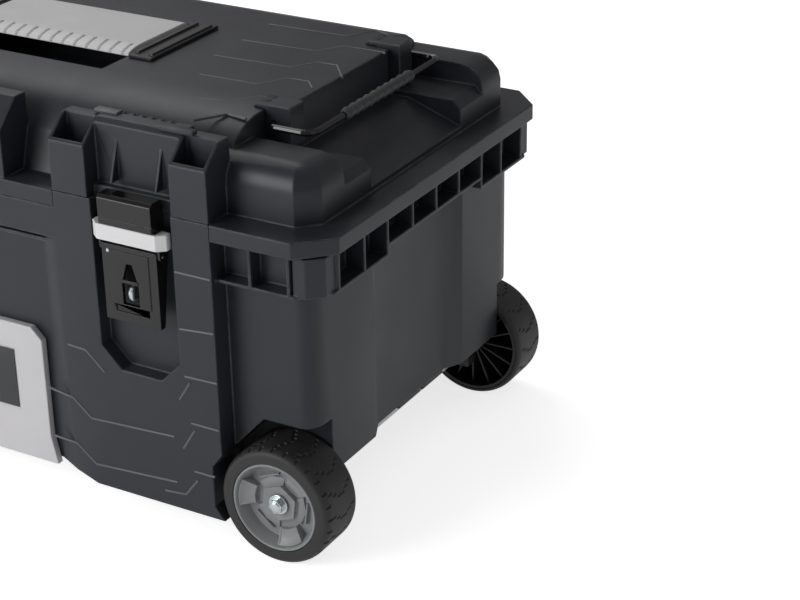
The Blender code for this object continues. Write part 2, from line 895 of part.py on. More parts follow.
def make_lid(plastic):
    low = below_rim(rim_height - seam_gap)
    rim = [prism(rim_outline(0), "Z", (low, rim_top))]
    plate_end = from_end(plate_end_set_in)
    solids = rim + [prism(lid_section(0, above_rim(-rim_skin)), "X", (-plate_end, plate_end))]
    tongue = from_end(plate_tongue_set_in)
    tongue_y = -from_front(plate_tongue_margin)
    solids.append(block((-tongue, tongue), (-tongue_y, tongue_y), (above_rim(-rim_skin), above_rim(plate_rise))))
    solids += all_four(lid_boss(0))
    step = prism(step_section(0), "Y", (from_front(boss_inner_edge - wall), from_front(step_inner_edge)))
    solids += all_four(step)
    reach = -from_front(step_inner_edge - wall)
    pocket = prism(pocket_section(0), "Y", (-reach, reach))
    solids += both(pocket, "X")
    for near, far in post_spans():
        solids += both(make_post(near, far), "X")
    solids += both(niche_wall(), "X")
    for solid in niche_ribs():
        solids += both(solid, "X")
    solids.append(prism(tower_section(), "X", (-tower_half, tower_half)))

    # The hollow under the lid, open downwards
    skin = lid_skin
    under = low - overrun
    near_x = from_end(pillar_near) + rim_skin
    far_x = from_end(post_far()) - rim_skin
    roof = above_rim(-rim_skin)
    cavity = [prism(rim_outline(rim_skin), "Z", (under, roof))]
    hollow = [prism(lid_section(skin, under), "X", (-plate_end + skin, plate_end - skin)),
              block((-tongue + skin, tongue - skin), (-tongue_y + skin, tongue_y - skin),
                    (under, above_rim(plate_rise - skin)))]
    hollow += all_four(lid_boss(skin))
    hollow += all_four(prism(step_section(skin), "Y", (from_front(boss_inner_edge - overrun - skin),
                                                       from_front(step_inner_edge - skin))))
    hollow += both(prism(pocket_section(skin), "Y", (from_front(step_inner_edge - overrun - skin),
                                                     -from_front(step_inner_edge - overrun - skin))), "X")
    niche_near = from_end(pillar_near + post_width + niche_skin)
    niche_far = from_end(post_far() - post_width - niche_skin)
    niche_end = from_front(post_depth + wall)
    hollow += both(block((niche_far, niche_near), (from_front(niche_back + niche_skin), niche_end),
                         (under, above_rim(niche_shelf_rise - niche_skin))), "X")
    hollow += both(block((niche_far, niche_near), (from_front(niche_set_back + niche_skin), niche_end),
                         (under, above_rim(niche_top_rise - wall))), "X")
    hollow.append(block((-tower_half + tower_cheek, tower_half - tower_cheek),
                        (from_front(tower_set_back + tower_niche_depth + 2 * skin),
                         from_front(post_depth + wall)),
                        (under, above_rim(tower_front_rise))))

    # What fills part of that hollow again: lip round the mouth, heads of the pillars, handle recess
    lip_x = half_length - tub_set_in - wall
    lip_y = half_depth - lid_wall_set_back
    lip = [block((-lip_x, lip_x), (-lip_y, -lip_y + skin), (low, rim_top - overrun / 2)),
           block((-lip_x, lip_x), (lip_y - skin, lip_y), (low, rim_top - overrun / 2)),
           block((lip_x - skin, lip_x), (-lip_y, lip_y), (low, rim_top - overrun / 2)),
           block((-lip_x, -lip_x + skin), (-lip_y, lip_y), (low, rim_top - overrun / 2))]
    shield = block((far_x, near_x), (from_front(0), from_front(pillar_head_depth + notch_play + rim_skin)),
                   (low, rim_top))
    lip += both(shield, "X")
    recess_x = handle_half + handle_side_play
    recess_floor = above_rim(plate_rise - hand_recess_depth)
    recess_back = from_front(handle_back + hand_recess_back_play)
    lip.append(block((-recess_x - skin, recess_x + skin),
                     (from_front(hand_recess_front - skin), recess_back + skin),
                     (recess_floor - skin, above_rim(plate_rise - skin / 2))))
    hinge_y, hinge_z = hinge_line()
    for middle in hinge_middles():
        span = (middle - hinge_middle_half, middle + hinge_middle_half)
        lip.append(rod("X", (hinge_y, hinge_z), hinge_radius, span))
        lip.append(block(span, (half_depth - rim_skin, hinge_y + hinge_radius),
                         (hinge_z, below_rim(hinge_arm_top_drop))))

    cuts = [block((-recess_x, recess_x), (from_front(hand_recess_front), recess_back),
                  (recess_floor, above_rim(plate_rise) + overrun))]
    notch = block((from_end(post_far() + notch_play), from_end(pillar_near - notch_play)),
                  (from_front(-overrun), from_front(pillar_head_depth + notch_play)),
                  (under, rim_top + notch_play))
    cuts += both(notch, "X")
    for near, far in post_spans():
        cuts += both(post_room(near, far), "X")
    tower_room = [(from_front(0) - overrun, above_rim(tower_niche_floor)),
                  (from_front(tower_set_back + tower_niche_depth), above_rim(tower_niche_floor)),
                  (from_front(tower_set_back + tower_niche_depth + wall), above_rim(plate_rise) + overrun),
                  (from_front(0) - overrun, above_rim(plate_rise) + overrun)]
    cuts.append(prism(tower_room, "X", (-tower_half + tower_cheek, tower_half - tower_cheek)))
    first_slot = latch_middle() - slot_pitch * (slot_count - 1) / 2
    for index in range(slot_count):
        start = first_slot + slot_pitch * index
        slot = block((start - slot_length / 2, start + slot_length / 2),
                     (from_front(slot_from_front), from_front(slot_from_front + slot_depth)),
                     (above_rim(plate_rise - slot_sink), above_rim(plate_rise) + overrun))
        cuts += both(slot, "X")
    pin_y, pin_z = handle_axis()
    seat = recess_x + handle_pin_seat
    bore = rod("X", (pin_y, pin_z), handle_pin_radius + bore_clearance, (recess_x - overrun, seat), small_sides)
    for middle in hinge_middles():
        reach = hinge_middle_half + overrun
        cuts.append(rod("X", (hinge_y, hinge_z), hinge_pin_radius + bore_clearance,
                        (middle - reach, middle + reach), small_sides))
    hollow_all = cavity + hollow
    return build("lid_shell", plastic, solids, hollow_all, lip, cuts, [], both(bore, "X"))


def make_seal(rubber):
    low = below_rim(rim_height) + 2 * seal_gap
    high = above_rim(-rim_skin) - seal_gap
    outer = prism(rim_outline(seal_set_in), "Z", (low, high))
    inner = prism(rim_outline(seal_set_in + seal_width), "Z", (low - overrun, high + overrun))
    return build("lid_seal", rubber, [outer], [inner])


def make_hinge_pins(steel):
    axis_y, axis_z = hinge_line()
    names = ("left", "middle", "right")
    for name, middle in zip(names, hinge_middles()):
        reach = hinge_outer_half - hinge_pin_end_gap
        pin = rod("X", (axis_y, axis_z), hinge_pin_radius, (middle - reach, middle + reach), small_sides)
        build("hinge_pin_" + name, steel, [pin], soft_angle=math.radians(40))


# Carry handle

def handle_axis():
    return (from_front(handle_back - handle_pin_from_back),
            above_rim(plate_rise + handle_proud - handle_thickness / 2))


def handle_nose(grow, steps):
    """Points of the handle's long rounded front edge, from the lip up to the top."""
    points = []
    for step in range(steps + 1):
        angle = math.pi / 2 * step / handle_nose_steps
        run = handle_nose_run * (1 - math.cos(angle)) - grow * math.cos(angle)
        fall = handle_nose_fall * (1 - math.sin(angle)) - grow * math.sin(angle)
        points.append((from_front(handle_front + run), above_rim(plate_rise + handle_proud - fall)))
    return points


def make_carry_handle(plastic, steel, black):
    top = above_rim(plate_rise + handle_proud)
    axis_y, axis_z = handle_axis()
    low = top - handle_thickness
    section = [(from_front(handle_body_front), low), (from_front(handle_body_front), top - handle_lip),
               (from_front(handle_front), top - handle_lip)]
    section += handle_nose(0, handle_nose_steps)
    section += [(from_front(handle_back), top), (from_front(handle_back), low)]
    slab = prism(section, "X", (-handle_half, handle_half))

    def at_back(middle, line):
        return abs(line.x) > 0.5 and middle.y > from_front(handle_back - handle_skin)
    slab = rounded(slab, at_back, handle_round, 3)
    strip = handle_nose(handle_rib_proud, handle_nose_steps - 1)
    strip += [(from_front(handle_front + handle_nose_run), top - handle_rib_width),
              (from_front(handle_front + handle_rib_width), top - handle_lip + handle_rib_proud)]
    ribs = []
    pitch = 2 * handle_half / handle_rib_count
    for index in range(handle_rib_count):
        start = -handle_half + pitch * (index + 0.5)
        ribs.append(prism(strip, "X", (start - handle_rib_width / 2, start + handle_rib_width / 2)))
    under = block((-handle_half + 3 * handle_skin, handle_half - 3 * handle_skin),
                  (from_front(handle_body_front + handle_skin), axis_y - handle_pin_radius - 2 * handle_skin),
                  (top - handle_thickness - overrun, top - 2 * handle_skin))
    bore = rod("X", (axis_y, axis_z), handle_pin_radius + bore_clearance, (-handle_half - overrun,
               -handle_half + handle_pin_grip), small_sides)
    hinge = pivot("carry_hinge", (0, axis_y, axis_z))
    build("carry_handle", plastic, [slab] + ribs, [under] + both(bore, "X"), parent=hinge,
          origin=(0, axis_y, axis_z), soft_angle=math.radians(35))
    for name, side in (("right", 1), ("left", -1)):
        inner = side * (handle_half - handle_pin_grip + seam_gap)
        outer = side * (handle_half + handle_side_play + handle_pin_seat - seam_gap)
        pin = rod("X", (axis_y, axis_z), handle_pin_radius, (inner, outer), small_sides)
        build("carry_pin_" + name, steel, [pin], soft_angle=math.radians(40))
        start = handle_half + handle_side_play + lid_skin
        low = above_rim(plate_rise) + seam_gap
        strap = block((start, start + rail_width), (from_front(handle_front - rail_overhang),
                      from_front(handle_back + rail_overhang)), (low, low + rail_thickness))
        ridges = []
        for edge in (start + rail_ridge_width / 2, start + rail_width - 3 * rail_ridge_width / 2):
            ridges.append(block((edge, edge + rail_ridge_width),
                                (from_front(handle_front), from_front(handle_back)),
                                (low + rail_thickness / 2, low + rail_thickness + rail_ridge)))
        solids = [strap] + ridges
        if side < 0:
            solids = [mirrored(solid, "X") for solid in solids]
        build("carry_rail_" + name, black, solids)


# Bail

def bail_path():
    """Centre line of the rod from one stub to the other, bends as arcs."""
    x = from_end(bail_pivot_set_in)
    z = above_rim(bail_pivot_rise)
    leg = from_front(bail_leg_from_front)
    out = x + bail_reach
    corners = [Vector((x, leg, z)), Vector((out, leg, z)), Vector((out, -leg, z)), Vector((x, -leg, z))]
    inset = bail_stub_bend + bail_stub
    ends = [Vector((x, leg + inset, z)), Vector((x, -leg - inset, z))]
    stations = [ends[0]] + corners + [ends[1]]
    bends = (bail_stub_bend, bail_bend, bail_bend, bail_stub_bend)
    points = [ends[0]]
    for before, corner, after, bend in zip(stations, stations[1:], stations[2:], bends):
        arm_in = (before - corner).normalized()
        arm_out = (after - corner).normalized()
        centre = corner + (arm_in + arm_out) * bend
        for step in range(bail_bend_steps + 1):
            angle = math.pi / 2 * step / bail_bend_steps
            points.append(centre - arm_out * bend * math.cos(angle) - arm_in * bend * math.sin(angle))
    return points + [ends[1]]


def make_bail(steel, plastic, black):
    x = from_end(bail_pivot_set_in)
    z = above_rim(bail_pivot_rise)
    hinge = pivot("bail_hinge", (x, 0, z))
    line = bpy.data.curves.new("bail_rod", "CURVE")
    line.dimensions = "3D"
    line.bevel_depth = bail_rod_radius
    line.bevel_resolution = 2
    line.use_fill_caps = True
    spline = line.splines.new("POLY")
    path = bail_path()
    spline.points.add(len(path) - 1)
    for point, place in zip(spline.points, path):
        point.co = (*(place - Vector((x, 0, z))), 1)
    line.materials.append(steel)
    bail = bpy.data.objects.new("bail_rod", line)
    bail.parent = hinge
    bpy.context.scene.collection.objects.link(bail)

    # The grip is turned: its profile repeats once for each rib
    start = -grip_length / 2
    pitch = grip_length / grip_rib_count
    profile = [(bail_rod_radius + bore_clearance, start)]
    for index in range(grip_rib_count):
        near = start + pitch * index
        profile += [(grip_radius - grip_groove, near), (grip_radius, near + pitch / 4),
                    (grip_radius, near + 3 * pitch / 4)]
    profile += [(grip_radius - grip_groove, -start), (bail_rod_radius + bore_clearance, -start)]
    grip = turned(profile, (x + bail_reach, 0, z), 1, small_sides)
    build("bail_grip", plastic, [grip], parent=hinge, origin=(x, 0, z), soft_angle=math.radians(50))

    for name, side in (("front", 1), ("rear", -1)):
        near = bracket_start
        span = (from_front(near), from_front(near + bracket_width))
        middle = from_end(bail_pivot_set_in)
        plate_end = from_end(plate_end_set_in) + seam_gap
        step_top = above_rim(step_rise) + seam_gap
        top = above_rim(plate_rise) + seam_gap
        cheek = block((plate_end, plate_end + bracket_depth), span, (step_top, top + bracket_lip_thickness))
        slope = [(plate_end, top), (plate_end - bracket_lip, top),
                 (plate_end - bracket_lip + bracket_lip_thickness, top + bracket_lip_thickness),
                 (plate_end + overrun, top + bracket_lip_thickness), (plate_end + overrun, top)]
        lip = prism(slope, "Y", span)
        stub_end = from_front(bail_leg_from_front + bail_stub_bend + bail_stub)
        reach = (from_front(near) - overrun, stub_end + seam_gap)
        bore = rod("Y", (middle, z), bail_rod_radius + bore_clearance, reach, round_sides)
        toe = [(plate_end + bracket_depth - bracket_lip_thickness, step_top - overrun),
               (plate_end + bracket_depth + overrun, step_top - overrun),
               (plate_end + bracket_depth + overrun, above_rim(bracket_foot_rise))]
        shave = prism(toe, "Y", (from_front(near) - overrun, from_front(near + bracket_width) + overrun))
        solids, cuts = [cheek, lip], [bore, shave]
        if side < 0:
            solids = [mirrored(solid, "Y") for solid in solids]
            cuts = [mirrored(solid, "Y") for solid in cuts]
        build("bail_bracket_" + name, black, solids, cuts)


# Latches

def latch_place():
    """Set back and height of the lever's pivot and of the hook's pivot."""
    lever = (from_front(lever_pivot_set_back), below_rim(lever_pivot_drop))
    hook = (from_front(hook_pivot_set_back), below_rim(hook_pivot_drop))
    return lever, hook


def make_latch(name, middle, steel, black, pale, bright):
    lever_axis, hook_axis = latch_place()
    front = from_front(lever_front)
    back = front + lever_sheet
    top = below_rim(lever_top_drop)
    bottom = below_rim(lever_bottom_drop)
    hinge = pivot("lever_hinge_" + name, (middle, *lever_axis))
    sheet = block((middle - lever_half, middle + lever_half), (front, back), (bottom, top))
    margin = lever_panel_margin
    panel = block((middle - lever_half + margin, middle + lever_half - margin),
                  (front - lever_panel_proud, front + lever_sheet / 2),
                  (bottom + 2 * margin, top - margin / 2))
    solids = [sheet, panel]
    side_y, side_z = lever_axis
    flange = [(front + lever_sheet / 2, top), (front + lever_sheet / 2, bottom), (back + flange_foot, bottom)]
    for step in range(7):
        angle = math.radians(-30 + 30 * step)
        flange.append((side_y + ear_radius * math.cos(angle), side_z + ear_radius * math.sin(angle)))
    for side in (1, -1):
        outer = middle + side * lever_half
        solids.append(prism(flange, "X", (outer - side * flange_thickness, outer)))
    wide = lever_half + overrun
    cuts = [rod("X", lever_axis, lever_pin_radius + bore_clearance, (middle - wide, middle + wide), small_sides),
            rod("X", hook_axis, hook_pin_radius + bore_clearance, (middle - wide, middle + wide), small_sides)]
    slot_top = below_rim(lock_slot_top_drop)
    slot_bottom = below_rim(lock_slot_bottom_drop)
    slot_middle = (slot_top + slot_bottom) / 2
    slot = [(middle - lock_slot_half / 3, slot_top), (middle - lock_slot_half, slot_middle),
            (middle - lock_slot_half, slot_bottom), (middle + lock_slot_half, slot_bottom),
            (middle + lock_slot_half, slot_middle), (middle + lock_slot_half / 3, slot_top)]
    cuts.append(prism(slot, "Y", (front - overrun, back + overrun)))
    finger = bottom + finger_slot_from_bottom
    cuts.append(block((middle - finger_slot_half, middle + finger_slot_half),
                      (front - overrun, front + lever_sheet / 2), (finger, finger + finger_slot_height)))
    build("lever_" + name, black, solids, cuts, parent=hinge, origin=(middle, *lever_axis))

    # The hook: a pale band with two arms down to its pins, and a black cap on top
    swing = pivot("hook_hinge_" + name, (middle, *hook_axis))
    band_low = below_rim(band_bottom_drop)
    band_high = below_rim(band_top_drop)
    face = from_front(-latch_proud)
    wing_back = from_front(band_wing_back)
    arm_in = lever_half + hook_arm_gap
    arm_out = arm_in + hook_arm_thickness
    plan = [(middle + band_front_half, face), (middle + band_wing_half, face + (wing_back - face) / 2),
            (middle + band_wing_half, wing_back), (middle - band_wing_half, wing_back),
            (middle - band_wing_half, face + (wing_back - face) / 2), (middle - band_front_half, face)]
    band = prism(plan, "Z", (band_low, band_high))
    solids = [band]
    for side in (1, -1):
        span = (middle + side * arm_in, middle + side * arm_out)
        solids.append(rod("X", hook_axis, hook_arm_radius, span, small_sides))
        solids.append(block(sorted(span), (hook_axis[0] - hook_arm_radius, hook_axis[0] + band_wing_back),
                            (hook_axis[1], band_high - band_skin)))
    room = block((middle - arm_in, middle + arm_in), (face + band_skin + seam_gap, wing_back + overrun),
                 (band_low - overrun, band_high + overrun))
    pins = rod("X", hook_axis, hook_pin_radius + bore_clearance,
               (middle - arm_out - overrun, middle + arm_out + overrun), small_sides)
    build("hook_band_" + name, pale, solids, [room, pins], parent=swing, origin=(middle, *hook_axis))

    cap_low = band_high + seam_gap
    cap_face = from_front(-latch_proud)
    cap_top = above_rim(cap_rise)
    section = [(cap_face, cap_low), (cap_face, cap_top - cap_edge), (cap_face + cap_edge, cap_top),
               (from_front(cap_back) - cap_edge, cap_top), (from_front(cap_back), cap_top - cap_edge),
               (from_front(cap_back), cap_low)]
    cap = prism(section, "X", (middle - cap_half, middle + cap_half))
    groove_top = below_rim(cap_groove_drop)
    groove = block((middle - cap_half - overrun, middle + cap_half + overrun),
                   (cap_face - overrun, cap_face + cap_groove_depth),
                   (groove_top - cap_groove_height, groove_top))
    tang = block((middle - arm_in + overrun, middle + arm_in - overrun),
                 (cap_face + band_skin + 2 * seam_gap, from_front(0)), (band_low, cap_low + overrun))
    build("hook_cap_" + name, black, [cap, tang], [groove], parent=swing, origin=(middle, *hook_axis))

    reach = recess_width / 2 + overrun - seam_gap
    pin = rod("X", lever_axis, lever_pin_radius, (middle - reach, middle + reach), small_sides)
    build("lever_pin_" + name, steel, [pin], soft_angle=math.radians(40))
    reach = arm_out + hook_pin_proud
    pin = rod("X", hook_axis, hook_pin_radius, (middle - reach, middle + reach), small_sides)
    build("hook_pin_" + name, steel, [pin], parent=hinge, origin=(middle, *lever_axis),
          soft_angle=math.radians(40))

    # Padlock staple: half a ring through the lever, standing on the recess floor
    base = from_front(recess_depth - seam_gap)
    height = below_rim(staple_drop)
    line = bpy.data.curves.new("padlock_staple_" + name, "CURVE")
    line.dimensions = "3D"
    line.bevel_depth = staple_rod
    line.bevel_resolution = 2
    line.use_fill_caps = True
    path = [(0, base, staple_half)]
    for step in range(staple_steps + 1):
        angle = math.pi / 2 - math.pi * step / staple_steps
        path.append((0, base - staple_out + staple_half * (1 - math.cos(angle)), staple_half * math.sin(angle)))
    path.append((0, base, -staple_half))
    spline = line.splines.new("POLY")
    spline.points.add(len(path) - 1)
    for point, (x, y, z) in zip(spline.points, path):
        point.co = (x, y, z, 1)
    line.materials.append(bright)
    staple = bpy.data.objects.new("padlock_staple_" + name, line)
    staple.location = (middle, 0, height)
    bpy.context.scene.collection.objects.link(staple)


# Wheels

def tyre_section(drum):
    """A cap of rubber over the drum, with a thick lip round the hub's outer ring."""
    steps = [math.pi / 2 * step / tyre_shoulder_steps for step in range(tyre_shoulder_steps + 1)]
    fall, width = tyre_outer_shoulder
    outer = [(wheel_radius - fall * (1 - math.sin(turn)), width * (1 - math.cos(turn))) for turn in steps]
    fall, width = tyre_inner_shoulder
    rear = [(wheel_radius - fall * (1 - math.sin(turn)), wheel_width - width * (1 - math.cos(turn)))
            for turn in reversed(steps)]
    inner = hub_radius + seam_gap
    ledge = tyre_lip_width - seam_gap
    return [(inner, 0), *outer, *rear, (drum + seam_gap, wheel_width), (drum + seam_gap, ledge), (inner, ledge)]


def make_wheel(name, side, rubber, plastic, bright):
    """side is 1 for the front wheel, whose outer face looks to -Y, and -1 for the rear one."""
    x, z = axle_place()
    face = side * from_front(0)
    centre = (x, face, z)
    hinge = pivot("wheel_hinge_" + name, centre)
    drum = wheel_radius - tyre_tread
    build("tyre_" + name, rubber, [turned(tyre_section(drum), centre, side, tyre_sides)], parent=hinge,
          origin=centre, soft_angle=math.radians(35))

    bore = axle_radius + running_clearance
    lip = hub_radius - rim_lip
    dish = hub_dish
    back = dish + hub_web
    barrel = drum - hub_barrel
    rise = dish - hub_boss_rise
    tube = hub_tube_radius
    profile = [(bore, dish), (lip - hub_web, dish), (lip, 0), (hub_radius, 0), (hub_radius, tyre_lip_width),
               (drum, tyre_lip_width), (drum, wheel_width), (barrel, wheel_width), (barrel, back), (tube, back),
               (tube, wheel_width), (bore, wheel_width)]
    boss_span = sorted((face + side * rise, face + side * (dish + hub_web / 2)))
    solids = [turned(profile, centre, side, tyre_sides),
              rod("Y", (x, z), hub_boss_radius, boss_span, 6, hub_turn)]
    bore_cut = rod("Y", (x, z), bore, sorted((face, face + side * (wheel_width + overrun))))
    for index in range(hub_rib_count):
        angle = 2 * math.pi * index / hub_rib_count
        rib = block((tube - overrun / 2, barrel + hub_barrel / 2),
                    (back - overrun / 2, wheel_width - hub_rib_set_in),
                    (-hub_rib_thickness / 2, hub_rib_thickness / 2))
        if side < 0:
            rib = mirrored(rib, "Y")
        bmesh.ops.rotate(rib, cent=(0, 0, 0), matrix=Matrix.Rotation(angle, 3, "Y"), verts=rib.verts)
        bmesh.ops.translate(rib, vec=centre, verts=rib.verts)
        solids.append(rib)
    for index in range(hub_pad_count):
        middle = hub_turn + math.pi + 2 * math.pi * index / hub_pad_count
        half = math.pi * hub_pad_angle_share
        outline = []
        for radius, angle in ((hub_pad_inner, -half), (hub_pad_outer, -half), (hub_pad_outer, 0),
                              (hub_pad_outer, half), (hub_pad_inner, half)):
            outline.append((x + radius * math.cos(middle + angle), z + radius * math.sin(middle + angle)))
        span = sorted((face + side * (dish - hub_pad_rise), face + side * (dish + hub_web / 2)))
        solids.append(prism(outline, "Y", span))
    build("hub_" + name, plastic, solids, [bore_cut], parent=hinge, origin=centre, soft_angle=math.radians(30))

    washer_out = rise - bolt_stand_off
    washer = rod("Y", (x, z), bolt_washer_radius,
                 sorted((face + side * washer_out, face + side * (washer_out - bolt_washer_height))))
    head_out = washer_out - bolt_washer_height - bolt_height
    head_span = sorted((face + side * head_out, face + side * (washer_out - bolt_washer_height / 2)))
    head = rod("Y", (x, z), bolt_radius, head_span, 6)
    build("axle_bolt_" + name, bright, [washer, head])
    return face + side * washer_out


def make_axle(steel, black, reach):
    x, z = axle_place()
    axle = rod("Y", (x, z), axle_radius, (-reach, reach))
    build("wheel_axle", steel, [axle], soft_angle=math.radians(40))
    for name, side in (("front", 1), ("rear", -1)):
        clip = block((x - clip_length / 2, x + clip_length / 2),
                     (from_front(clip_inset), from_front(clip_inset + clip_width)),
                     (z - clip_below_axle, below_rim(raised_floor_drop) - seam_gap))
        bore = rod("Y", (x, z), axle_radius + bore_clearance,
                   (from_front(clip_inset) - overrun, from_front(clip_inset + clip_width) + overrun))
        if side < 0:
            clip = mirrored(clip, "Y")
            bore = mirrored(bore, "Y")
        build("axle_clip_" + name, black, [clip], [bore])


# Feet, label plate and towing handle

def make_feet(rubber):
    for name, side in (("front", 1), ("rear", -1)):
        foot = block((-from_end(foot_from_end - foot_length / 2), -from_end(foot_from_end + foot_length / 2)),
                     (from_front(foot_from_front - foot_depth / 2),
                      from_front(foot_from_front + foot_depth / 2)),
                     (0, below_rim(floor_drop) - seam_gap))
        if side < 0:
            foot = mirrored(foot, "Y")
        build("foot_" + name, rubber, [foot])


def make_label(pale):
    top = below_rim(label_top_drop)
    bottom = below_rim(label_bottom_drop)
    edge = from_end(pillar_near + pillar_width + facet_width) - label_side_gap
    half = [(edge - label_corner, top), (edge, top - label_corner),
            (edge, bottom + label_flare_height), (edge + label_flare, bottom)]
    outline = half + [(-x, z) for x, z in reversed(half)]
    back = from_front(bulge_set_back - seam_gap)
    front = back - label_proud
    plate = prism(outline, "Y", (front, back))
    window = block((-label_window_half, label_window_half), (front - overrun, front + label_window_sink),
                   (below_rim(label_window_bottom_drop), below_rim(label_window_top_drop)))
    build("label_plate", pale, [plate], [window])


def make_towing_handle(steel, black, bright, pale):
    floor = below_rim(floor_drop)
    tube_z = floor + tube_above_floor
    outer_x = -half_length + tow_bar_end_gap
    inner_x = outer_x + tow_bar_thickness
    bar_low = tube_z - tube_radius - tow_bar_below + tow_bar_below / 2
    bar = block((outer_x, inner_x), (-tow_bar_half, tow_bar_half), (bar_low, bar_low + tow_bar_height))

    def along_bar(middle, line):
        return abs(line.y) > 0.5
    bar = rounded(bar, along_bar, tow_bar_round, 3)
    start = inner_x - tube_seat
    tube_end = channel_end() - tube_end_gap
    sockets = []
    for name, side in (("front", -1), ("rear", 1)):
        place = (side * tube_half_spacing, tube_z)
        outer = rod("X", place, tube_radius, (start, tube_end))
        inner = rod("X", place, tube_radius - tube_skin, (start - overrun, tube_end + overrun))
        build("pull_tube_" + name, bright, [outer], [inner], soft_angle=math.radians(30))
        sockets.append(rod("X", place, tube_radius + bore_clearance, (start - seam_gap, inner_x + overrun)))
    top = bar_low + tow_bar_height
    middle_x = (outer_x + inner_x) / 2
    well = block((middle_x - button_width / 2 - button_play, middle_x + button_width / 2 + button_play),
                 (-button_half - button_play, button_half + button_play),
                 (top - button_sink - button_travel, top + overrun))
    build("pull_grip", black, [bar], sockets + [well])
    button = block((middle_x - button_width / 2, middle_x + button_width / 2), (-button_half, button_half),
                   (top - button_sink + seam_gap, top - button_sink + seam_gap + button_height))
    build("pull_button", pale, [button])
    for index, set_in in enumerate(guide_set_in):
        place = -from_end(set_in)
        for name, side in (("front", -1), ("rear", 1)):
            middle = side * tube_half_spacing
            half = channel_half - seam_gap
            guide = block((place - guide_length / 2, place + guide_length / 2), (middle - half, middle + half),
                          (floor, floor + channel_height - seam_gap))
            bore = rod("X", (middle, tube_z), tube_radius + running_clearance,
                       (place - guide_length / 2 - overrun, place + guide_length / 2 + overrun))
            build("tube_guide_%s_%d" % (name, index + 1), black, [guide], [bore])


def main():
    for thing in list(bpy.data.objects):
        bpy.data.objects.remove(thing)
    charcoal = paint("charcoal_plastic", (0.052, 0.055, 0.062), 0.52)
    black = paint("black_plastic", (0.018, 0.018, 0.020), 0.38)
    grip_grey = paint("grip_grey", (0.085, 0.090, 0.095), 0.62)
    pale = paint("pale_grey_plastic", (0.46, 0.46, 0.47), 0.45)
    hub_grey = paint("hub_grey_plastic", (0.19, 0.20, 0.21), 0.45)
    rubber = paint("black_rubber", (0.028, 0.028, 0.030), 0.80)
    tread = paint("tyre_rubber", (0.040, 0.041, 0.043), 0.72)
    black_steel = paint("black_steel", (0.015, 0.015, 0.016), 0.28, 0.9)
    steel = paint("plain_steel", (0.52, 0.53, 0.54), 0.32, 1.0)
    zinc = paint("zinc_steel", (0.60, 0.66, 0.67), 0.30, 1.0)

    make_case(charcoal)
    make_lid(charcoal)
    make_seal(rubber)
    make_hinge_pins(steel)
    make_carry_handle(pale, steel, black)
    make_bail(black_steel, grip_grey, black)
    for name, side in (("right", 1), ("left", -1)):
        make_latch(name, side * latch_middle(), steel, black_steel, pale, zinc)
    reach = None
    for name, side in (("front", 1), ("rear", -1)):
        reach = make_wheel(name, side, tread, hub_grey, zinc)
    make_axle(steel, black, abs(reach) - seam_gap)
    make_feet(rubber)
    make_label(pale)
    make_towing_handle(steel, black, steel, pale)


main()
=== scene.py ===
import bmesh
import bpy
import json
import math
from mathutils import Matrix, Vector


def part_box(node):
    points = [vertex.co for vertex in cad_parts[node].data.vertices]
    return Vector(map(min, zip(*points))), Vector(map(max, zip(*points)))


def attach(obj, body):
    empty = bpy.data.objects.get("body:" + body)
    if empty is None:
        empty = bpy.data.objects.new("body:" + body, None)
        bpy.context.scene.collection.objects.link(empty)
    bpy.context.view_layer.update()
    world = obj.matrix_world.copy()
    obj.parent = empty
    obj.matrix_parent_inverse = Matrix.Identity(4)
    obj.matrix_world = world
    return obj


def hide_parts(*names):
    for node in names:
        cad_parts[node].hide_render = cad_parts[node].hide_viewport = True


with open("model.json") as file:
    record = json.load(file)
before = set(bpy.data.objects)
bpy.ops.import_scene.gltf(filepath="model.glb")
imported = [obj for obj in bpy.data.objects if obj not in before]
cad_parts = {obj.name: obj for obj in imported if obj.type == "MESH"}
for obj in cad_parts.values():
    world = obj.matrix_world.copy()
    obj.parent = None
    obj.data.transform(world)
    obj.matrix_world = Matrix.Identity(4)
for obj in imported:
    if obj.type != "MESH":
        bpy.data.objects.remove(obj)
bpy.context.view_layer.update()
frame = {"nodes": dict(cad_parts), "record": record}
print("toolbox frame loaded,", len(frame["nodes"]), "nodes")


# Shader groups shared by the finishes

def addNode(tree, kind, x, y, **settings):
    node = tree.nodes.new(kind)
    node.location = (x, y)
    for name, value in settings.items():
        setattr(node, name, value)
    return node


def newGroup(name, inputs, outputs):
    group = bpy.data.node_groups.new(name, "ShaderNodeTree")
    for label, start in inputs:
        socket = group.interface.new_socket(label, in_out="INPUT", socket_type="NodeSocketFloat")
        socket.default_value = start
    for label in outputs:
        kind = "NodeSocketVector" if label == "Normal" else "NodeSocketFloat"
        group.interface.new_socket(label, in_out="OUTPUT", socket_type=kind)
    return group, addNode(group, "NodeGroupInput", -1000, 0), addNode(group, "NodeGroupOutput", 800, 0)


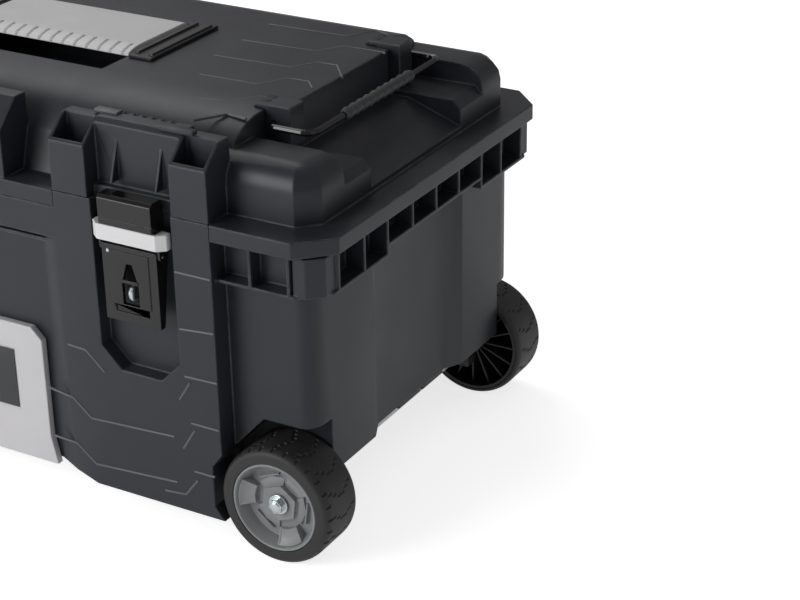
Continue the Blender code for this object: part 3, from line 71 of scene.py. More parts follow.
def buildGrainGroup():
    group, given, made = newGroup("mouldGrain", [("Grain Scale", 900.0), ("Cloud Scale", 9.0)],
                                  ["Height", "Cloud"])
    link = group.links.new
    coords = addNode(group, "ShaderNodeTexCoord", -800, 200)
    pebble = addNode(group, "ShaderNodeTexVoronoi", -500, 300, feature="SMOOTH_F1")
    fuzz = addNode(group, "ShaderNodeTexNoise", -500, 0)
    fuzz.inputs["Detail"].default_value = 3
    cloud = addNode(group, "ShaderNodeTexNoise", -500, -300)
    cloud.inputs["Detail"].default_value = 5
    cloud.inputs["Roughness"].default_value = 0.6
    for texture in (pebble, fuzz, cloud):
        link(coords.outputs["Object"], texture.inputs["Vector"])
    link(given.outputs["Grain Scale"], pebble.inputs["Scale"])
    link(given.outputs["Grain Scale"], fuzz.inputs["Scale"])
    link(given.outputs["Cloud Scale"], cloud.inputs["Scale"])
    blend = addNode(group, "ShaderNodeMath", 0, 200, operation="ADD")
    link(pebble.outputs["Distance"], blend.inputs[0])
    link(fuzz.outputs["Fac"], blend.inputs[1])
    link(blend.outputs[0], made.inputs["Height"])
    spread = addNode(group, "ShaderNodeMapRange", 0, -300)
    spread.inputs["From Min"].default_value = 0.32
    spread.inputs["From Max"].default_value = 0.68
    link(cloud.outputs["Fac"], spread.inputs["Value"])
    link(spread.outputs["Result"], made.inputs["Cloud"])
    return group


# Lighter tint along rounded edges, broken up by scuff noise: partly real rubbing of the edges, partly a
# painted highlight for the light the rounded edges catch
def buildWearHighlightGroup():
    group, given, made = newGroup("edgeWearHighlight", [("Edge Width", 0.0012), ("Scuff Scale", 60.0)],
                                  ["Mask", "Normal"])
    link = group.links.new
    rounded = addNode(group, "ShaderNodeBevel", -700, 300, samples=4)
    link(given.outputs["Edge Width"], rounded.inputs["Radius"])
    flat = addNode(group, "ShaderNodeNewGeometry", -700, 0)
    turned = addNode(group, "ShaderNodeVectorMath", -400, 200, operation="DOT_PRODUCT")
    link(rounded.outputs["Normal"], turned.inputs[0])
    link(flat.outputs["Normal"], turned.inputs[1])
    edge = addNode(group, "ShaderNodeMapRange", -150, 200)
    edge.inputs["From Min"].default_value = 0.985
    edge.inputs["From Max"].default_value = 0.82
    link(turned.outputs["Value"], edge.inputs["Value"])
    coords = addNode(group, "ShaderNodeTexCoord", -700, -300)
    scuffs = addNode(group, "ShaderNodeTexNoise", -400, -300)
    scuffs.inputs["Detail"].default_value = 6
    scuffs.inputs["Roughness"].default_value = 0.65
    link(coords.outputs["Object"], scuffs.inputs["Vector"])
    link(given.outputs["Scuff Scale"], scuffs.inputs["Scale"])
    broken = addNode(group, "ShaderNodeMapRange", -150, -300)
    broken.inputs["From Min"].default_value = 0.38
    broken.inputs["From Max"].default_value = 0.62
    link(scuffs.outputs["Fac"], broken.inputs["Value"])
    both = addNode(group, "ShaderNodeMath", 200, 0, operation="MULTIPLY")
    link(edge.outputs["Result"], both.inputs[0])
    link(broken.outputs["Result"], both.inputs[1])
    link(both.outputs[0], made.inputs["Mask"])
    link(rounded.outputs["Normal"], made.inputs["Normal"])
    return group


def buildDustGroup():
    group, given, made = newGroup("settledDust", [("Dust Scale", 25.0)], ["Mask"])
    link = group.links.new
    coords = addNode(group, "ShaderNodeTexCoord", -800, 0)
    split = addNode(group, "ShaderNodeSeparateXYZ", -550, 150)
    link(coords.outputs["Normal"], split.inputs[0])
    upward = addNode(group, "ShaderNodeMapRange", -300, 150)
    upward.inputs["From Min"].default_value = 0.35
    link(split.outputs["Z"], upward.inputs["Value"])
    specks = addNode(group, "ShaderNodeTexNoise", -550, -150)
    specks.inputs["Detail"].default_value = 8
    specks.inputs["Roughness"].default_value = 0.7
    link(coords.outputs["Object"], specks.inputs["Vector"])
    link(given.outputs["Dust Scale"], specks.inputs["Scale"])
    patchy = addNode(group, "ShaderNodeMapRange", -300, -150)
    patchy.inputs["From Min"].default_value = 0.4
    patchy.inputs["From Max"].default_value = 0.75
    link(specks.outputs["Fac"], patchy.inputs["Value"])
    both = addNode(group, "ShaderNodeMath", 0, 0, operation="MULTIPLY")
    link(upward.outputs["Result"], both.inputs[0])
    link(patchy.outputs["Result"], both.inputs[1])
    link(both.outputs[0], made.inputs["Mask"])
    return group


grainGroup = buildGrainGroup()
wearHighlightGroup = buildWearHighlightGroup()
dustGroup = buildDustGroup()


# Finishes, one dictionary each

finishes = {
    "charcoalMoulding": {
        "colour": (0.0185, 0.0205, 0.0265), "cloud": (0.023, 0.025, 0.031),
        "wearHighlightTint": (0.15, 0.158, 0.172), "dust": (0.09, 0.09, 0.1), "dustShare": 0.05,
        "rough": 0.38, "roughSpread": 0.1, "grain": 900, "grainDepth": 0.1, "edge": 0.002, "shine": 0.36,
    },
    # Lighter charcoal for the raised lines and bars: a painted highlight for the light their edges catch
    "highlitCharcoal": {
        "colour": (0.075, 0.077, 0.084), "cloud": (0.095, 0.097, 0.104),
        "wearHighlightTint": (0.15, 0.155, 0.165), "dust": (0.12, 0.12, 0.12), "dustShare": 0.04,
        "rough": 0.42, "roughSpread": 0.1, "grain": 900, "grainDepth": 0.06, "edge": 0.0006,
    },
    "darkPanel": {
        "colour": (0.03, 0.031, 0.034), "cloud": (0.036, 0.037, 0.04),
        "wearHighlightTint": (0.08, 0.08, 0.085), "dust": (0.1, 0.1, 0.1), "dustShare": 0.05,
        "rough": 0.5, "roughSpread": 0.1, "grain": 700, "grainDepth": 0.1, "edge": 0.0006,
    },
    "blackTrim": {
        "colour": (0.009, 0.009, 0.01), "cloud": (0.012, 0.012, 0.013),
        "wearHighlightTint": (0.06, 0.06, 0.063), "dust": (0.08, 0.08, 0.08), "dustShare": 0.05,
        "rough": 0.34, "roughSpread": 0.12, "grain": 1100, "grainDepth": 0.08, "edge": 0.0008,
    },
    "glossBlack": {
        "colour": (0.005, 0.005, 0.006), "cloud": (0.007, 0.007, 0.008),
        "wearHighlightTint": (0.04, 0.04, 0.04), "dust": (0.07, 0.07, 0.07), "dustShare": 0.03,
        "rough": 0.16, "roughSpread": 0.08, "grain": 500, "grainDepth": 0.02, "edge": 0.0007,
    },
    "paleBand": {
        "colour": (0.66, 0.66, 0.67), "cloud": (0.7, 0.7, 0.71),
        "wearHighlightTint": (0.78, 0.78, 0.78), "dust": (0.4, 0.39, 0.37), "dustShare": 0.06,
        "rough": 0.42, "roughSpread": 0.1, "grain": 1000, "grainDepth": 0.05, "edge": 0.0008,
    },
    "labelGrey": {
        "colour": (0.52, 0.51, 0.53), "cloud": (0.56, 0.55, 0.57),
        "wearHighlightTint": (0.74, 0.74, 0.75), "dust": (0.35, 0.34, 0.33), "dustShare": 0.06,
        "rough": 0.45, "roughSpread": 0.12, "grain": 900, "grainDepth": 0.06, "edge": 0.0014,
    },
    "handleGrey": {
        "colour": (0.64, 0.64, 0.645), "cloud": (0.68, 0.68, 0.685),
        "wearHighlightTint": (0.8, 0.8, 0.8), "dust": (0.45, 0.44, 0.43), "dustShare": 0.05,
        "rough": 0.44, "roughSpread": 0.12, "grain": 900, "grainDepth": 0.08, "edge": 0.001,
    },
    "hubGrey": {
        "colour": (0.205, 0.212, 0.218), "cloud": (0.235, 0.242, 0.248),
        "wearHighlightTint": (0.42, 0.42, 0.43), "dust": (0.2, 0.19, 0.18), "dustShare": 0.05,
        "rough": 0.36, "roughSpread": 0.12, "grain": 1000, "grainDepth": 0.06, "edge": 0.0009,
    },
    "tyreRubber": {
        "colour": (0.014, 0.014, 0.015), "cloud": (0.019, 0.019, 0.02),
        "wearHighlightTint": (0.06, 0.059, 0.058), "dust": (0.1, 0.09, 0.08), "dustShare": 0.08,
        "rough": 0.52, "roughSpread": 0.14, "grain": 700, "grainDepth": 0.16, "edge": 0.001,
    },
    "softGrip": {
        "colour": (0.032, 0.034, 0.037), "cloud": (0.042, 0.044, 0.047),
        "wearHighlightTint": (0.11, 0.11, 0.115), "dust": (0.11, 0.11, 0.11), "dustShare": 0.08,
        "rough": 0.5, "roughSpread": 0.12, "grain": 800, "grainDepth": 0.14, "edge": 0.0008,
    },
    "blackRubberAndShade": {
        "colour": (0.012, 0.012, 0.013), "cloud": (0.018, 0.018, 0.019),
        "wearHighlightTint": (0.05, 0.05, 0.05), "dust": (0.08, 0.08, 0.08), "dustShare": 0.08,
        "rough": 0.66, "roughSpread": 0.12, "grain": 800, "grainDepth": 0.14, "edge": 0.0008,
    },
    "coatedSteel": {
        "colour": (0.006, 0.006, 0.007), "cloud": (0.008, 0.008, 0.009),
        "wearHighlightTint": (0.08, 0.08, 0.085), "dust": (0.07, 0.07, 0.07), "dustShare": 0.04,
        "rough": 0.08, "roughSpread": 0.04, "grain": 350, "grainDepth": 0.03, "edge": 0.0007,
    },
    "drawnSteel": {
        "colour": (0.5, 0.51, 0.52), "cloud": (0.58, 0.59, 0.6),
        "wearHighlightTint": (0.7, 0.71, 0.72), "dust": (0.35, 0.34, 0.33), "dustShare": 0.05,
        "rough": 0.3, "roughSpread": 0.14, "grain": 600, "grainDepth": 0.04, "edge": 0.0006, "metal": 1.0,
    },
    "brightZinc": {
        "colour": (0.56, 0.62, 0.64), "cloud": (0.64, 0.7, 0.71),
        "wearHighlightTint": (0.74, 0.76, 0.77), "dust": (0.38, 0.37, 0.36), "dustShare": 0.05,
        "rough": 0.26, "roughSpread": 0.16, "grain": 260, "grainDepth": 0.05, "edge": 0.0006, "metal": 1.0,
    },
}


def buildFinish(name, values):
    material = bpy.data.materials.new(name)
    material.use_nodes = True
    tree = material.node_tree
    tree.nodes.clear()
    link = tree.links.new
    output = addNode(tree, "ShaderNodeOutputMaterial", 1000, 0)
    shader = addNode(tree, "ShaderNodeBsdfPrincipled", 700, 0)
    shader.inputs["Metallic"].default_value = values.get("metal", 0.0)
    shader.inputs["Specular IOR Level"].default_value = values.get("shine", 0.5)
    link(shader.outputs[0], output.inputs[0])
    grain = addNode(tree, "ShaderNodeGroup", -700, 200, node_tree=grainGroup)
    grain.inputs["Grain Scale"].default_value = values["grain"]
    wearHighlightNode = addNode(tree, "ShaderNodeGroup", -700, -100, node_tree=wearHighlightGroup)
    wearHighlightNode.inputs["Edge Width"].default_value = values["edge"]
    dust = addNode(tree, "ShaderNodeGroup", -700, -400, node_tree=dustGroup)
    colour = None
    # Edge tint: partly rubbed edges, partly painted highlight along the rounded edges
    tints = ((grain.outputs["Cloud"], "cloud"), (wearHighlightNode.outputs["Mask"], "wearHighlightTint"))
    for step, (mask, tint) in enumerate(tints):
        mix = addNode(tree, "ShaderNodeMix", -400 + 250 * step, 300, data_type="RGBA")
        link(mask, mix.inputs[0])
        if colour is None:
            mix.inputs[6].default_value = (*values["colour"], 1)
        else:
            link(colour, mix.inputs[6])
        mix.inputs[7].default_value = (*values[tint], 1)
        colour = mix.outputs[2]
    thin = addNode(tree, "ShaderNodeMath", -150, -400, operation="MULTIPLY")
    link(dust.outputs["Mask"], thin.inputs[0])
    thin.inputs[1].default_value = values["dustShare"] * 4
    dusted = addNode(tree, "ShaderNodeMix", 100, 300, data_type="RGBA", clamp_factor=True)
    link(thin.outputs[0], dusted.inputs[0])
    link(colour, dusted.inputs[6])
    dusted.inputs[7].default_value = (*values["dust"], 1)
    link(dusted.outputs[2], shader.inputs["Base Color"])
    rough = addNode(tree, "ShaderNodeMapRange", 100, 0)
    rough.inputs["To Min"].default_value = values["rough"] - values["roughSpread"] / 2
    rough.inputs["To Max"].default_value = values["rough"] + values["roughSpread"] / 2
    link(grain.outputs["Cloud"], rough.inputs["Value"])
    link(rough.outputs["Result"], shader.inputs["Roughness"])
    bump = addNode(tree, "ShaderNodeBump", 400, -300)
    bump.inputs["Strength"].default_value = values["grainDepth"]
    bump.inputs["Distance"].default_value = 0.0004
    link(grain.outputs["Height"], bump.inputs["Height"])
    link(wearHighlightNode.outputs["Normal"], bump.inputs["Normal"])
    link(bump.outputs["Normal"], shader.inputs["Normal"])
    return material


finish = {name: buildFinish(name, values) for name, values in finishes.items()}
print("finishes made,", len(finish))


# Shapes shared by the pieces

weldGap = 0.000001
wireSides = 2
sectorSharpAngle = 30


def softenEdges(bm, lines, width):
    bmesh.ops.bevel(bm, geom=lines, offset=width, offset_type="OFFSET", segments=2, profile=0.5,
                    affect="EDGES", clamp_overlap=False, material=-1)


def sharpLines(bm, angle):
    return [line for line in bm.edges
            if len(line.link_faces) == 2 and line.calc_face_angle(0) > math.radians(angle)]


def blockOf(low, high, edge=0.0):
    bm = bmesh.new()
    bmesh.ops.create_cube(bm, size=1)
    span = [top - bottom for bottom, top in zip(low, high)]
    middle = [(top + bottom) / 2 for bottom, top in zip(low, high)]
    bmesh.ops.scale(bm, vec=span, verts=bm.verts)
    bmesh.ops.translate(bm, vec=middle, verts=bm.verts)
    if edge:
        softenEdges(bm, bm.edges[:], edge)
    return bm


def joinShapes(shapes):
    whole = bmesh.new()
    for shape in shapes:
        carrier = bpy.data.meshes.new("carrier")
        shape.to_mesh(carrier)
        shape.free()
        whole.from_mesh(carrier)
        bpy.data.meshes.remove(carrier)
    return whole


def wireShape(lines, radius):
    curve = bpy.data.curves.new("wire", "CURVE")
    curve.dimensions = "3D"
    curve.bevel_depth = radius
    curve.bevel_resolution = wireSides
    curve.use_fill_caps = True
    for line in lines:
        spline = curve.splines.new("POLY")
        spline.points.add(len(line) - 1)
        for point, place in zip(spline.points, line):
            point.co = (*place, 1)
    holder = bpy.data.objects.new("wire", curve)
    bpy.context.scene.collection.objects.link(holder)
    bpy.context.view_layer.update()
    mesh = bpy.data.meshes.new_from_object(holder.evaluated_get(bpy.context.evaluated_depsgraph_get()))
    bm = bmesh.new()
    bm.from_mesh(mesh)
    bmesh.ops.remove_doubles(bm, verts=bm.verts, dist=weldGap)
    bpy.data.objects.remove(holder)
    bpy.data.curves.remove(curve)
    bpy.data.meshes.remove(mesh)
    return bm


# A profile or a section is a list of (radius, depth), with the depth counted inward from the wheel's face

def ringOf(bm, profile, centre, inward):
    return [bm.verts.new((centre.x + radius, centre.y + inward * depth, centre.z))
            for radius, depth in profile]


def turnShape(profile, centre, inward, steps):
    bm = bmesh.new()
    ring = ringOf(bm, profile, centre, inward)
    edges = [bm.edges.new((ring[i], ring[(i + 1) % len(ring)])) for i in range(len(ring))]
    bmesh.ops.spin(bm, geom=ring + edges, cent=centre, axis=(0, 1, 0), angle=2 * math.pi, steps=steps,
                   use_merge=True, use_duplicate=False)
    bmesh.ops.remove_doubles(bm, verts=bm.verts, dist=weldGap)
    bmesh.ops.recalc_face_normals(bm, faces=bm.faces)
    return bm


def sectorShape(section, centre, inward, middle, half, steps, edge=0.0):
    bm = bmesh.new()
    face = bm.faces.new(ringOf(bm, section, centre, inward))
    bmesh.ops.rotate(bm, cent=centre, matrix=Matrix.Rotation(-(middle - half), 3, "Y"), verts=bm.verts)
    bmesh.ops.spin(bm, geom=bm.verts[:] + bm.edges[:] + [face], cent=centre, axis=(0, 1, 0),
                   angle=-2 * half, steps=steps, use_duplicate=False)
    bmesh.ops.recalc_face_normals(bm, faces=bm.faces)
    if edge:
        softenEdges(bm, sharpLines(bm, sectorSharpAngle), edge)
    return bm


def prismShape(corners, centre, inward, nearDepth, farDepth, edge=0.0):
    bm = bmesh.new()
    near = centre.y + inward * nearDepth
    face = bm.faces.new([bm.verts.new((centre.x + x, near, centre.z + z)) for x, z in corners])
    grown = bmesh.ops.extrude_face_region(bm, geom=[face])
    moved = [item for item in grown["geom"] if isinstance(item, bmesh.types.BMVert)]
    bmesh.ops.translate(bm, vec=(0, inward * (farDepth - nearDepth), 0), verts=moved)
    bmesh.ops.recalc_face_normals(bm, faces=bm.faces)
    if edge:
        softenEdges(bm, bm.edges[:], edge)
    return bm


# Mouldings: the CAD node, then its piece, the width of its rounded edges and its finish

dressing = {"merge": 0.00001, "flatAngle": 1.0, "sharpAngle": 28.0}

mouldings = {
    "case_shell": ("caseMoulding", 0.0009, "charcoalMoulding"),
    "lid_shell": ("lidMoulding", 0.0009, "charcoalMoulding"),
    "label_plate": ("labelPlate", 0.0010, "labelGrey"),
    "carry_handle": ("carryHandle", 0.0006, "handleGrey"),
    "carry_rail_left": ("carryRailLeft", 0.0005, "blackTrim"),
    "carry_rail_right": ("carryRailRight", 0.0005, "blackTrim"),
    "bail_bracket_front": ("bailBracketFront", 0.0006, "charcoalMoulding"),
    "bail_bracket_rear": ("bailBracketRear", 0.0006, "charcoalMoulding"),
    "lever_left": ("leverLeft", 0.0004, "glossBlack"),
    "lever_right": ("leverRight", 0.0004, "glossBlack"),
    "hook_band_left": ("hookBandLeft", 0.0005, "paleBand"),
    "hook_band_right": ("hookBandRight", 0.0005, "paleBand"),
    "hook_cap_left": ("hookCapLeft", 0.0005, "glossBlack"),
    "hook_cap_right": ("hookCapRight", 0.0005, "glossBlack"),
    "foot_front": ("footFront", 0.0015, "blackRubberAndShade"),
    "foot_rear": ("footRear", 0.0015, "blackRubberAndShade"),
    "pull_grip": ("towGrip", 0.0007, "softGrip"),
    "pull_button": ("towButton", 0.0006, "labelGrey"),
    "axle_clip_front": ("axleClipFront", 0.0007, "blackTrim"),
    "axle_clip_rear": ("axleClipRear", 0.0007, "blackTrim"),
}


def bodyOf(node):
    for body, members in frame["record"]["behaviour"]["bodies"].items():
        if node in members:
            return body


def slotOf(node):
    for part in frame["record"]["subparts"]:
        if part["node"] == node:
            return part["material_slot"]


def placePiece(name, bm, finishName, body, replaces=(), even=False):
    mesh = bpy.data.meshes.new(name)
    bmesh.ops.triangulate(bm, faces=[face for face in bm.faces if len(face.verts) > 4])
    for face in bm.faces:
        face.smooth = True
    bm.to_mesh(mesh)
    bm.free()
    mesh.materials.append(finish[finishName])
    mesh.set_sharp_from_angle(angle=math.radians(dressing["sharpAngle"]))
    piece = bpy.data.objects.new(name, mesh)
    bpy.context.scene.collection.objects.link(piece)
    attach(piece, body)
    if replaces:
        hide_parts(*replaces)
    if even:
        shading = piece.modifiers.new("evenShading", "WEIGHTED_NORMAL")
        shading.keep_sharp = True
    return piece


def copyOfNode(node):
    bm = bmesh.new()
    bm.from_mesh(frame["nodes"][node].data)
    bmesh.ops.remove_doubles(bm, verts=bm.verts, dist=dressing["merge"])
    bmesh.ops.dissolve_limit(bm, angle_limit=math.radians(dressing["flatAngle"]), verts=bm.verts,
                             edges=bm.edges)
    return bm


# The pale band is the top of each hook, and the arms below it are black

hookArms = {"bandHeight": 0.0150, "nodes": ("hook_band_left", "hook_band_right"), "finish": "glossBlack"}


def blackenArms(piece, node):
    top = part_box(node)[1].z
    piece.data.materials.append(finish[hookArms["finish"]])
    for face in piece.data.polygons:
        if min(piece.data.vertices[index].co.z for index in face.vertices) < top - hookArms["bandHeight"]:
            face.material_index = 1


for node, (pieceName, edge, finishName) in mouldings.items():
    bm = copyOfNode(node)
    softenEdges(bm, sharpLines(bm, dressing["sharpAngle"]), edge)
    piece = placePiece(pieceName, bm, finishName, bodyOf(node), [node], even=True)
    if node in hookArms["nodes"]:
        blackenArms(piece, node)
print("mouldings dressed,", len(mouldings))

nodeFinishes = {"bail_rod": "coatedSteel", "lid_seal": "blackRubberAndShade"}
slotFinishes = {
    "charcoal_plastic": "charcoalMoulding", "black_plastic": "blackTrim", "pale_grey_plastic": "paleBand",
    "hub_grey_plastic": "hubGrey", "grip_grey": "softGrip", "black_rubber": "blackRubberAndShade",
    "tyre_rubber": "tyreRubber", "black_steel": "glossBlack", "plain_steel": "drawnSteel",
    "zinc_steel": "brightZinc",
}
for node, part in frame["nodes"].items():
    chosen = finish[nodeFinishes.get(node, slotFinishes[slotOf(node)])]
    part.data.materials.clear()
    part.data.materials.append(chosen)
print("nodes finished")


# Wheels

rimRing = {"bore": 0.0055, "floor": 0.0130, "web": 0.0170, "floorRadius": 0.0345, "lipInner": 0.0389,
           "lipOuter": 0.0410, "cap": 0.0062, "drum": 0.0497, "barrel": 0.0462, "tube": 0.0110,
           "width": 0.0475, "edge": 0.0006, "fillet": 0.0015, "lipRun": 0.0005, "lipDepth": 0.0010,
           "lipFall": 0.0003, "discBack": 0.0020, "overlap": 0.0001, "steps": 96}
hubPads = {"count": 3, "turn": math.radians(172), "half": math.radians(21), "inner": 0.0240,
           "outer": 0.0372, "innerDepth": 0.0080, "outerDepth": 0.0022, "foot": 0.0150, "edge": 0.0007,
           "frame": 0.0026, "sink": 0.0012, "facing": 0.6, "sharpAngle": 50, "steps": 8}
hubHex = {"radius": 0.0178, "depth": 0.0080, "foot": 0.0150, "edge": 0.0009, "panel": 0.0028, "sink": 0.0008,
          "facing": 0.9, "turn": math.radians(-8)}
hubFields = {"shelfInner": 0.0150, "shelfOuter": 0.0255, "shelfDepth": 0.0112, "foot": 0.0150,
             "half": math.radians(33), "edge": 0.0005, "steps": 2, "barRadius": 0.0270,
             "barHalf": 0.0105, "barWidth": 0.0016, "barDepth": 0.0098, "barEdge": 0.0004}
hubRibs = {"count": 16, "half": 0.0010, "start": 0.0165, "end": 0.0415, "inner": 0.0105, "outer": 0.0468,
           "edge": 0.0004}
axleBolt = {"washerRadius": 0.0092, "washer": 0.0012, "headRadius": 0.0070, "head": 0.0044, "turn": 0.3,
            "domeRadius": 0.0050, "dome": 0.0014, "start": 0.0075, "edge": 0.0005, "bore": 0.0015,
            "washerFall": 0.0004, "overlap": 0.0002, "tip": 0.0001, "washerSteps": 48, "domeSteps": 32,
            "domeArc": 6}
tyreBody = {"inner": 0.0415, "radius": 0.0541, "faceFall": 0.0056, "faceRun": 0.0080, "rearFall": 0.0030,
            "rearRun": 0.0055, "cap": 0.0057, "drum": 0.0500, "steps": 112, "arc": 6,
            "notchEvery": 4, "notchStart": 0.0028, "notchEnd": 0.0075, "notchInset": 0.0006,
            "notchSink": 0.0011, "treadBands": 6, "chevronEvery": 7, "chevronInset": 0.0004,
            "chevronSink": 0.0007}


def wheelFrame(side):
    low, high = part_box("tyre_front" if side > 0 else "tyre_rear")
    centre = (low + high) / 2
    centre.y = low.y if side > 0 else high.y
    return centre


def hexagonOf(radius, turn):
    return [(radius * math.cos(turn + math.pi * k / 3), radius * math.sin(turn + math.pi * k / 3))
            for k in range(6)]


def hubShape(centre, side):
    ring = rimRing
    edge = ring["edge"]
    profile = [(ring["bore"], ring["floor"]), (ring["floorRadius"] - 2 * edge, ring["floor"]),
               (ring["floorRadius"], ring["floor"] - edge),
               (ring["lipInner"] - ring["lipRun"], ring["lipDepth"]), (ring["lipInner"], ring["lipFall"]),
               (ring["lipInner"] + edge, 0.0), (ring["lipOuter"] - edge, 0.0), (ring["lipOuter"], edge),
               (ring["lipOuter"], ring["web"] - ring["discBack"]),
               (ring["bore"], ring["web"] - ring["discBack"])]
    shapes = [turnShape(profile, centre, side, ring["steps"])]
    for index in range(hubPads["count"]):
        middle = hubPads["turn"] + 2 * math.pi * index / hubPads["count"]
        section = [(hubPads["inner"], hubPads["innerDepth"]), (hubPads["outer"], hubPads["outerDepth"]),
                   (hubPads["outer"], hubPads["foot"]), (hubPads["inner"], hubPads["foot"])]
        pad = sectorShape(section, centre, side, middle, hubPads["half"], hubPads["steps"])
        tops = [face for face in pad.faces if -side * face.normal.y > hubPads["facing"]]
        bmesh.ops.inset_region(pad, faces=tops, thickness=hubPads["frame"], depth=-hubPads["sink"])
        softenEdges(pad, sharpLines(pad, hubPads["sharpAngle"]), hubPads["edge"] / 2)
        shapes.append(pad)
        between = middle + math.pi / hubPads["count"]
        fields = hubFields
        section = [(fields["shelfInner"], fields["shelfDepth"]), (fields["shelfOuter"], fields["shelfDepth"]),
                   (fields["shelfOuter"], fields["foot"]), (fields["shelfInner"], fields["foot"])]
        shapes.append(sectorShape(section, centre, side, between, fields["half"], fields["steps"],
                                  fields["edge"]))
        depths = sorted((centre.y + side * fields["barDepth"], centre.y + side * fields["foot"]))
        outer = centre.x + fields["barRadius"]
        bar = blockOf((outer - fields["barWidth"], depths[0], centre.z - fields["barHalf"]),
                      (outer, depths[1], centre.z + fields["barHalf"]), fields["barEdge"])
        bmesh.ops.rotate(bar, cent=centre, matrix=Matrix.Rotation(-between, 3, "Y"), verts=bar.verts)
        shapes.append(bar)
    corners = hexagonOf(hubHex["radius"], hubHex["turn"] + math.pi / 6)
    boss = prismShape(corners, centre, side, hubHex["depth"], hubHex["foot"])
    tops = [face for face in boss.faces if -side * face.normal.y > hubHex["facing"]]
    bmesh.ops.inset_region(boss, faces=tops, thickness=hubHex["panel"], depth=-hubHex["sink"])
    softenEdges(boss, boss.edges[:], hubHex["edge"] / 2)
    shapes.append(boss)
    return joinShapes(shapes)


def barrelShape(centre, side):
    ring = rimRing
    edge = ring["edge"]
    fillet = ring["fillet"]
    front = ring["web"] - ring["discBack"] + ring["overlap"]
    seat = ring["lipOuter"] + ring["overlap"]
    profile = [(ring["bore"], front), (seat, front), (seat, ring["cap"]), (ring["drum"], ring["cap"]),
               (ring["drum"], ring["width"] - edge), (ring["drum"] - edge, ring["width"]),
               (ring["barrel"] + edge, ring["width"]), (ring["barrel"], ring["width"] - edge),
               (ring["barrel"], ring["web"] + fillet), (ring["barrel"] - fillet, ring["web"]),
               (ring["tube"] + fillet, ring["web"]), (ring["tube"], ring["web"] + fillet),
               (ring["tube"], ring["width"] - edge), (ring["tube"] - edge, ring["width"]),
               (ring["bore"], ring["width"])]
    shapes = [turnShape(profile, centre, side, ring["steps"])]
    for index in range(hubRibs["count"]):
        depths = sorted((centre.y + side * hubRibs["start"], centre.y + side * hubRibs["end"]))
        rib = blockOf((centre.x + hubRibs["inner"], depths[0], centre.z - hubRibs["half"]),
                      (centre.x + hubRibs["outer"], depths[1], centre.z + hubRibs["half"]), hubRibs["edge"])
        turn = Matrix.Rotation(2 * math.pi * index / hubRibs["count"], 3, "Y")
        bmesh.ops.rotate(rib, cent=centre, matrix=turn, verts=rib.verts)
        shapes.append(rib)
    return joinShapes(shapes)


def boltShape(centre, side):
    bolt = axleBolt
    washer = bolt["washerRadius"]
    rim = bolt["start"] - bolt["washer"]
    disc = turnShape([(bolt["bore"], bolt["start"]), (washer, bolt["start"]),
                      (washer, rim + bolt["washerFall"]), (washer - bolt["edge"], rim), (bolt["bore"], rim)],
                     centre, side, bolt["washerSteps"])
    top = rim - bolt["head"]
    corners = hexagonOf(bolt["headRadius"], bolt["turn"])
    head = prismShape(corners, centre, side, top, rim + bolt["overlap"], bolt["edge"])
    radius = bolt["domeRadius"]
    crown = top - bolt["overlap"]
    foot = top + 2 * bolt["overlap"]
    dome = [(bolt["tip"], foot), (radius, foot), (radius, crown)]
    for step in range(1, bolt["domeArc"]):
        angle = math.pi / 2 * step / bolt["domeArc"]
        dome.append((radius * math.cos(angle), crown - bolt["dome"] * math.sin(angle)))
    dome.append((bolt["tip"], crown - bolt["dome"]))
    return joinShapes([disc, head, turnShape(dome, centre, side, bolt["domeSteps"])])


def tyreShape(centre, side):
    body = tyreBody
    width = rimRing["width"]
    arc = [math.pi / 2 * step / body["arc"] for step in range(body["arc"] + 1)]
    profile = [(body["inner"], 0.0)]
    profile += [(body["radius"] - body["faceFall"] * (1 - math.sin(turn)),
                 body["faceRun"] * (1 - math.cos(turn))) for turn in arc]
    treadStart = body["faceRun"]
    treadEnd = width - body["rearRun"]
    bands = body["treadBands"]
    profile += [(body["radius"], treadStart + (treadEnd - treadStart) * band / bands)
                for band in range(1, bands)]
    profile += [(body["radius"] - body["rearFall"] * (1 - math.sin(turn)),
                 width - body["rearRun"] * (1 - math.cos(turn))) for turn in reversed(arc)]
    profile += [(body["drum"], width), (body["drum"], body["cap"]), (body["inner"], body["cap"])]
    bm = turnShape(profile, centre, side, body["steps"])
    pits = []
    treads = []
    for face in bm.faces:
        middle = face.calc_center_median() - centre
        depth = side * middle.y
        radius = math.hypot(middle.x, middle.z)
        index = int((math.atan2(middle.z, middle.x) / (2 * math.pi) + 1) * body["steps"] + 0.25)
        if radius < body["radius"] - body["faceFall"]:
            continue
        if body["notchStart"] < depth < body["notchEnd"] and index % body["notchEvery"] == 0:
            pits.append(face)
        elif treadStart < depth < treadEnd:
            band = int((depth - treadStart) / (treadEnd - treadStart) * bands)
            lean = min(band, bands - 1 - band)
            if (index + lean) % body["chevronEvery"] == 0:
                treads.append(face)
    bmesh.ops.inset_region(bm, faces=pits, thickness=body["notchInset"], depth=-body["notchSink"])
    bmesh.ops.inset_individual(bm, faces=treads, thickness=body["chevronInset"],
                               depth=-body["chevronSink"])
    return bm


for name, side in (("front", 1), ("rear", -1)):
    centre = wheelFrame(side)
    label = name.capitalize()
    wheel = "wheel_" + name
    placePiece("hub" + label, hubShape(centre, side), "hubGrey", wheel,
               ["hub_" + name])
    # The barrel, its ribs and tube behind the hub's face take the near-black trim finish, so the hub is
    # darker inside than on its face
    placePiece("barrel" + label, barrelShape(centre, side), "blackTrim", wheel)
    placePiece("tyre" + label, tyreShape(centre, side), "tyreRubber", wheel,
               ["tyre_" + name])
    placePiece("axleBolt" + label, boltShape(centre, side), "brightZinc", "case",
               ["axle_bolt_" + name])
print("wheels turned")
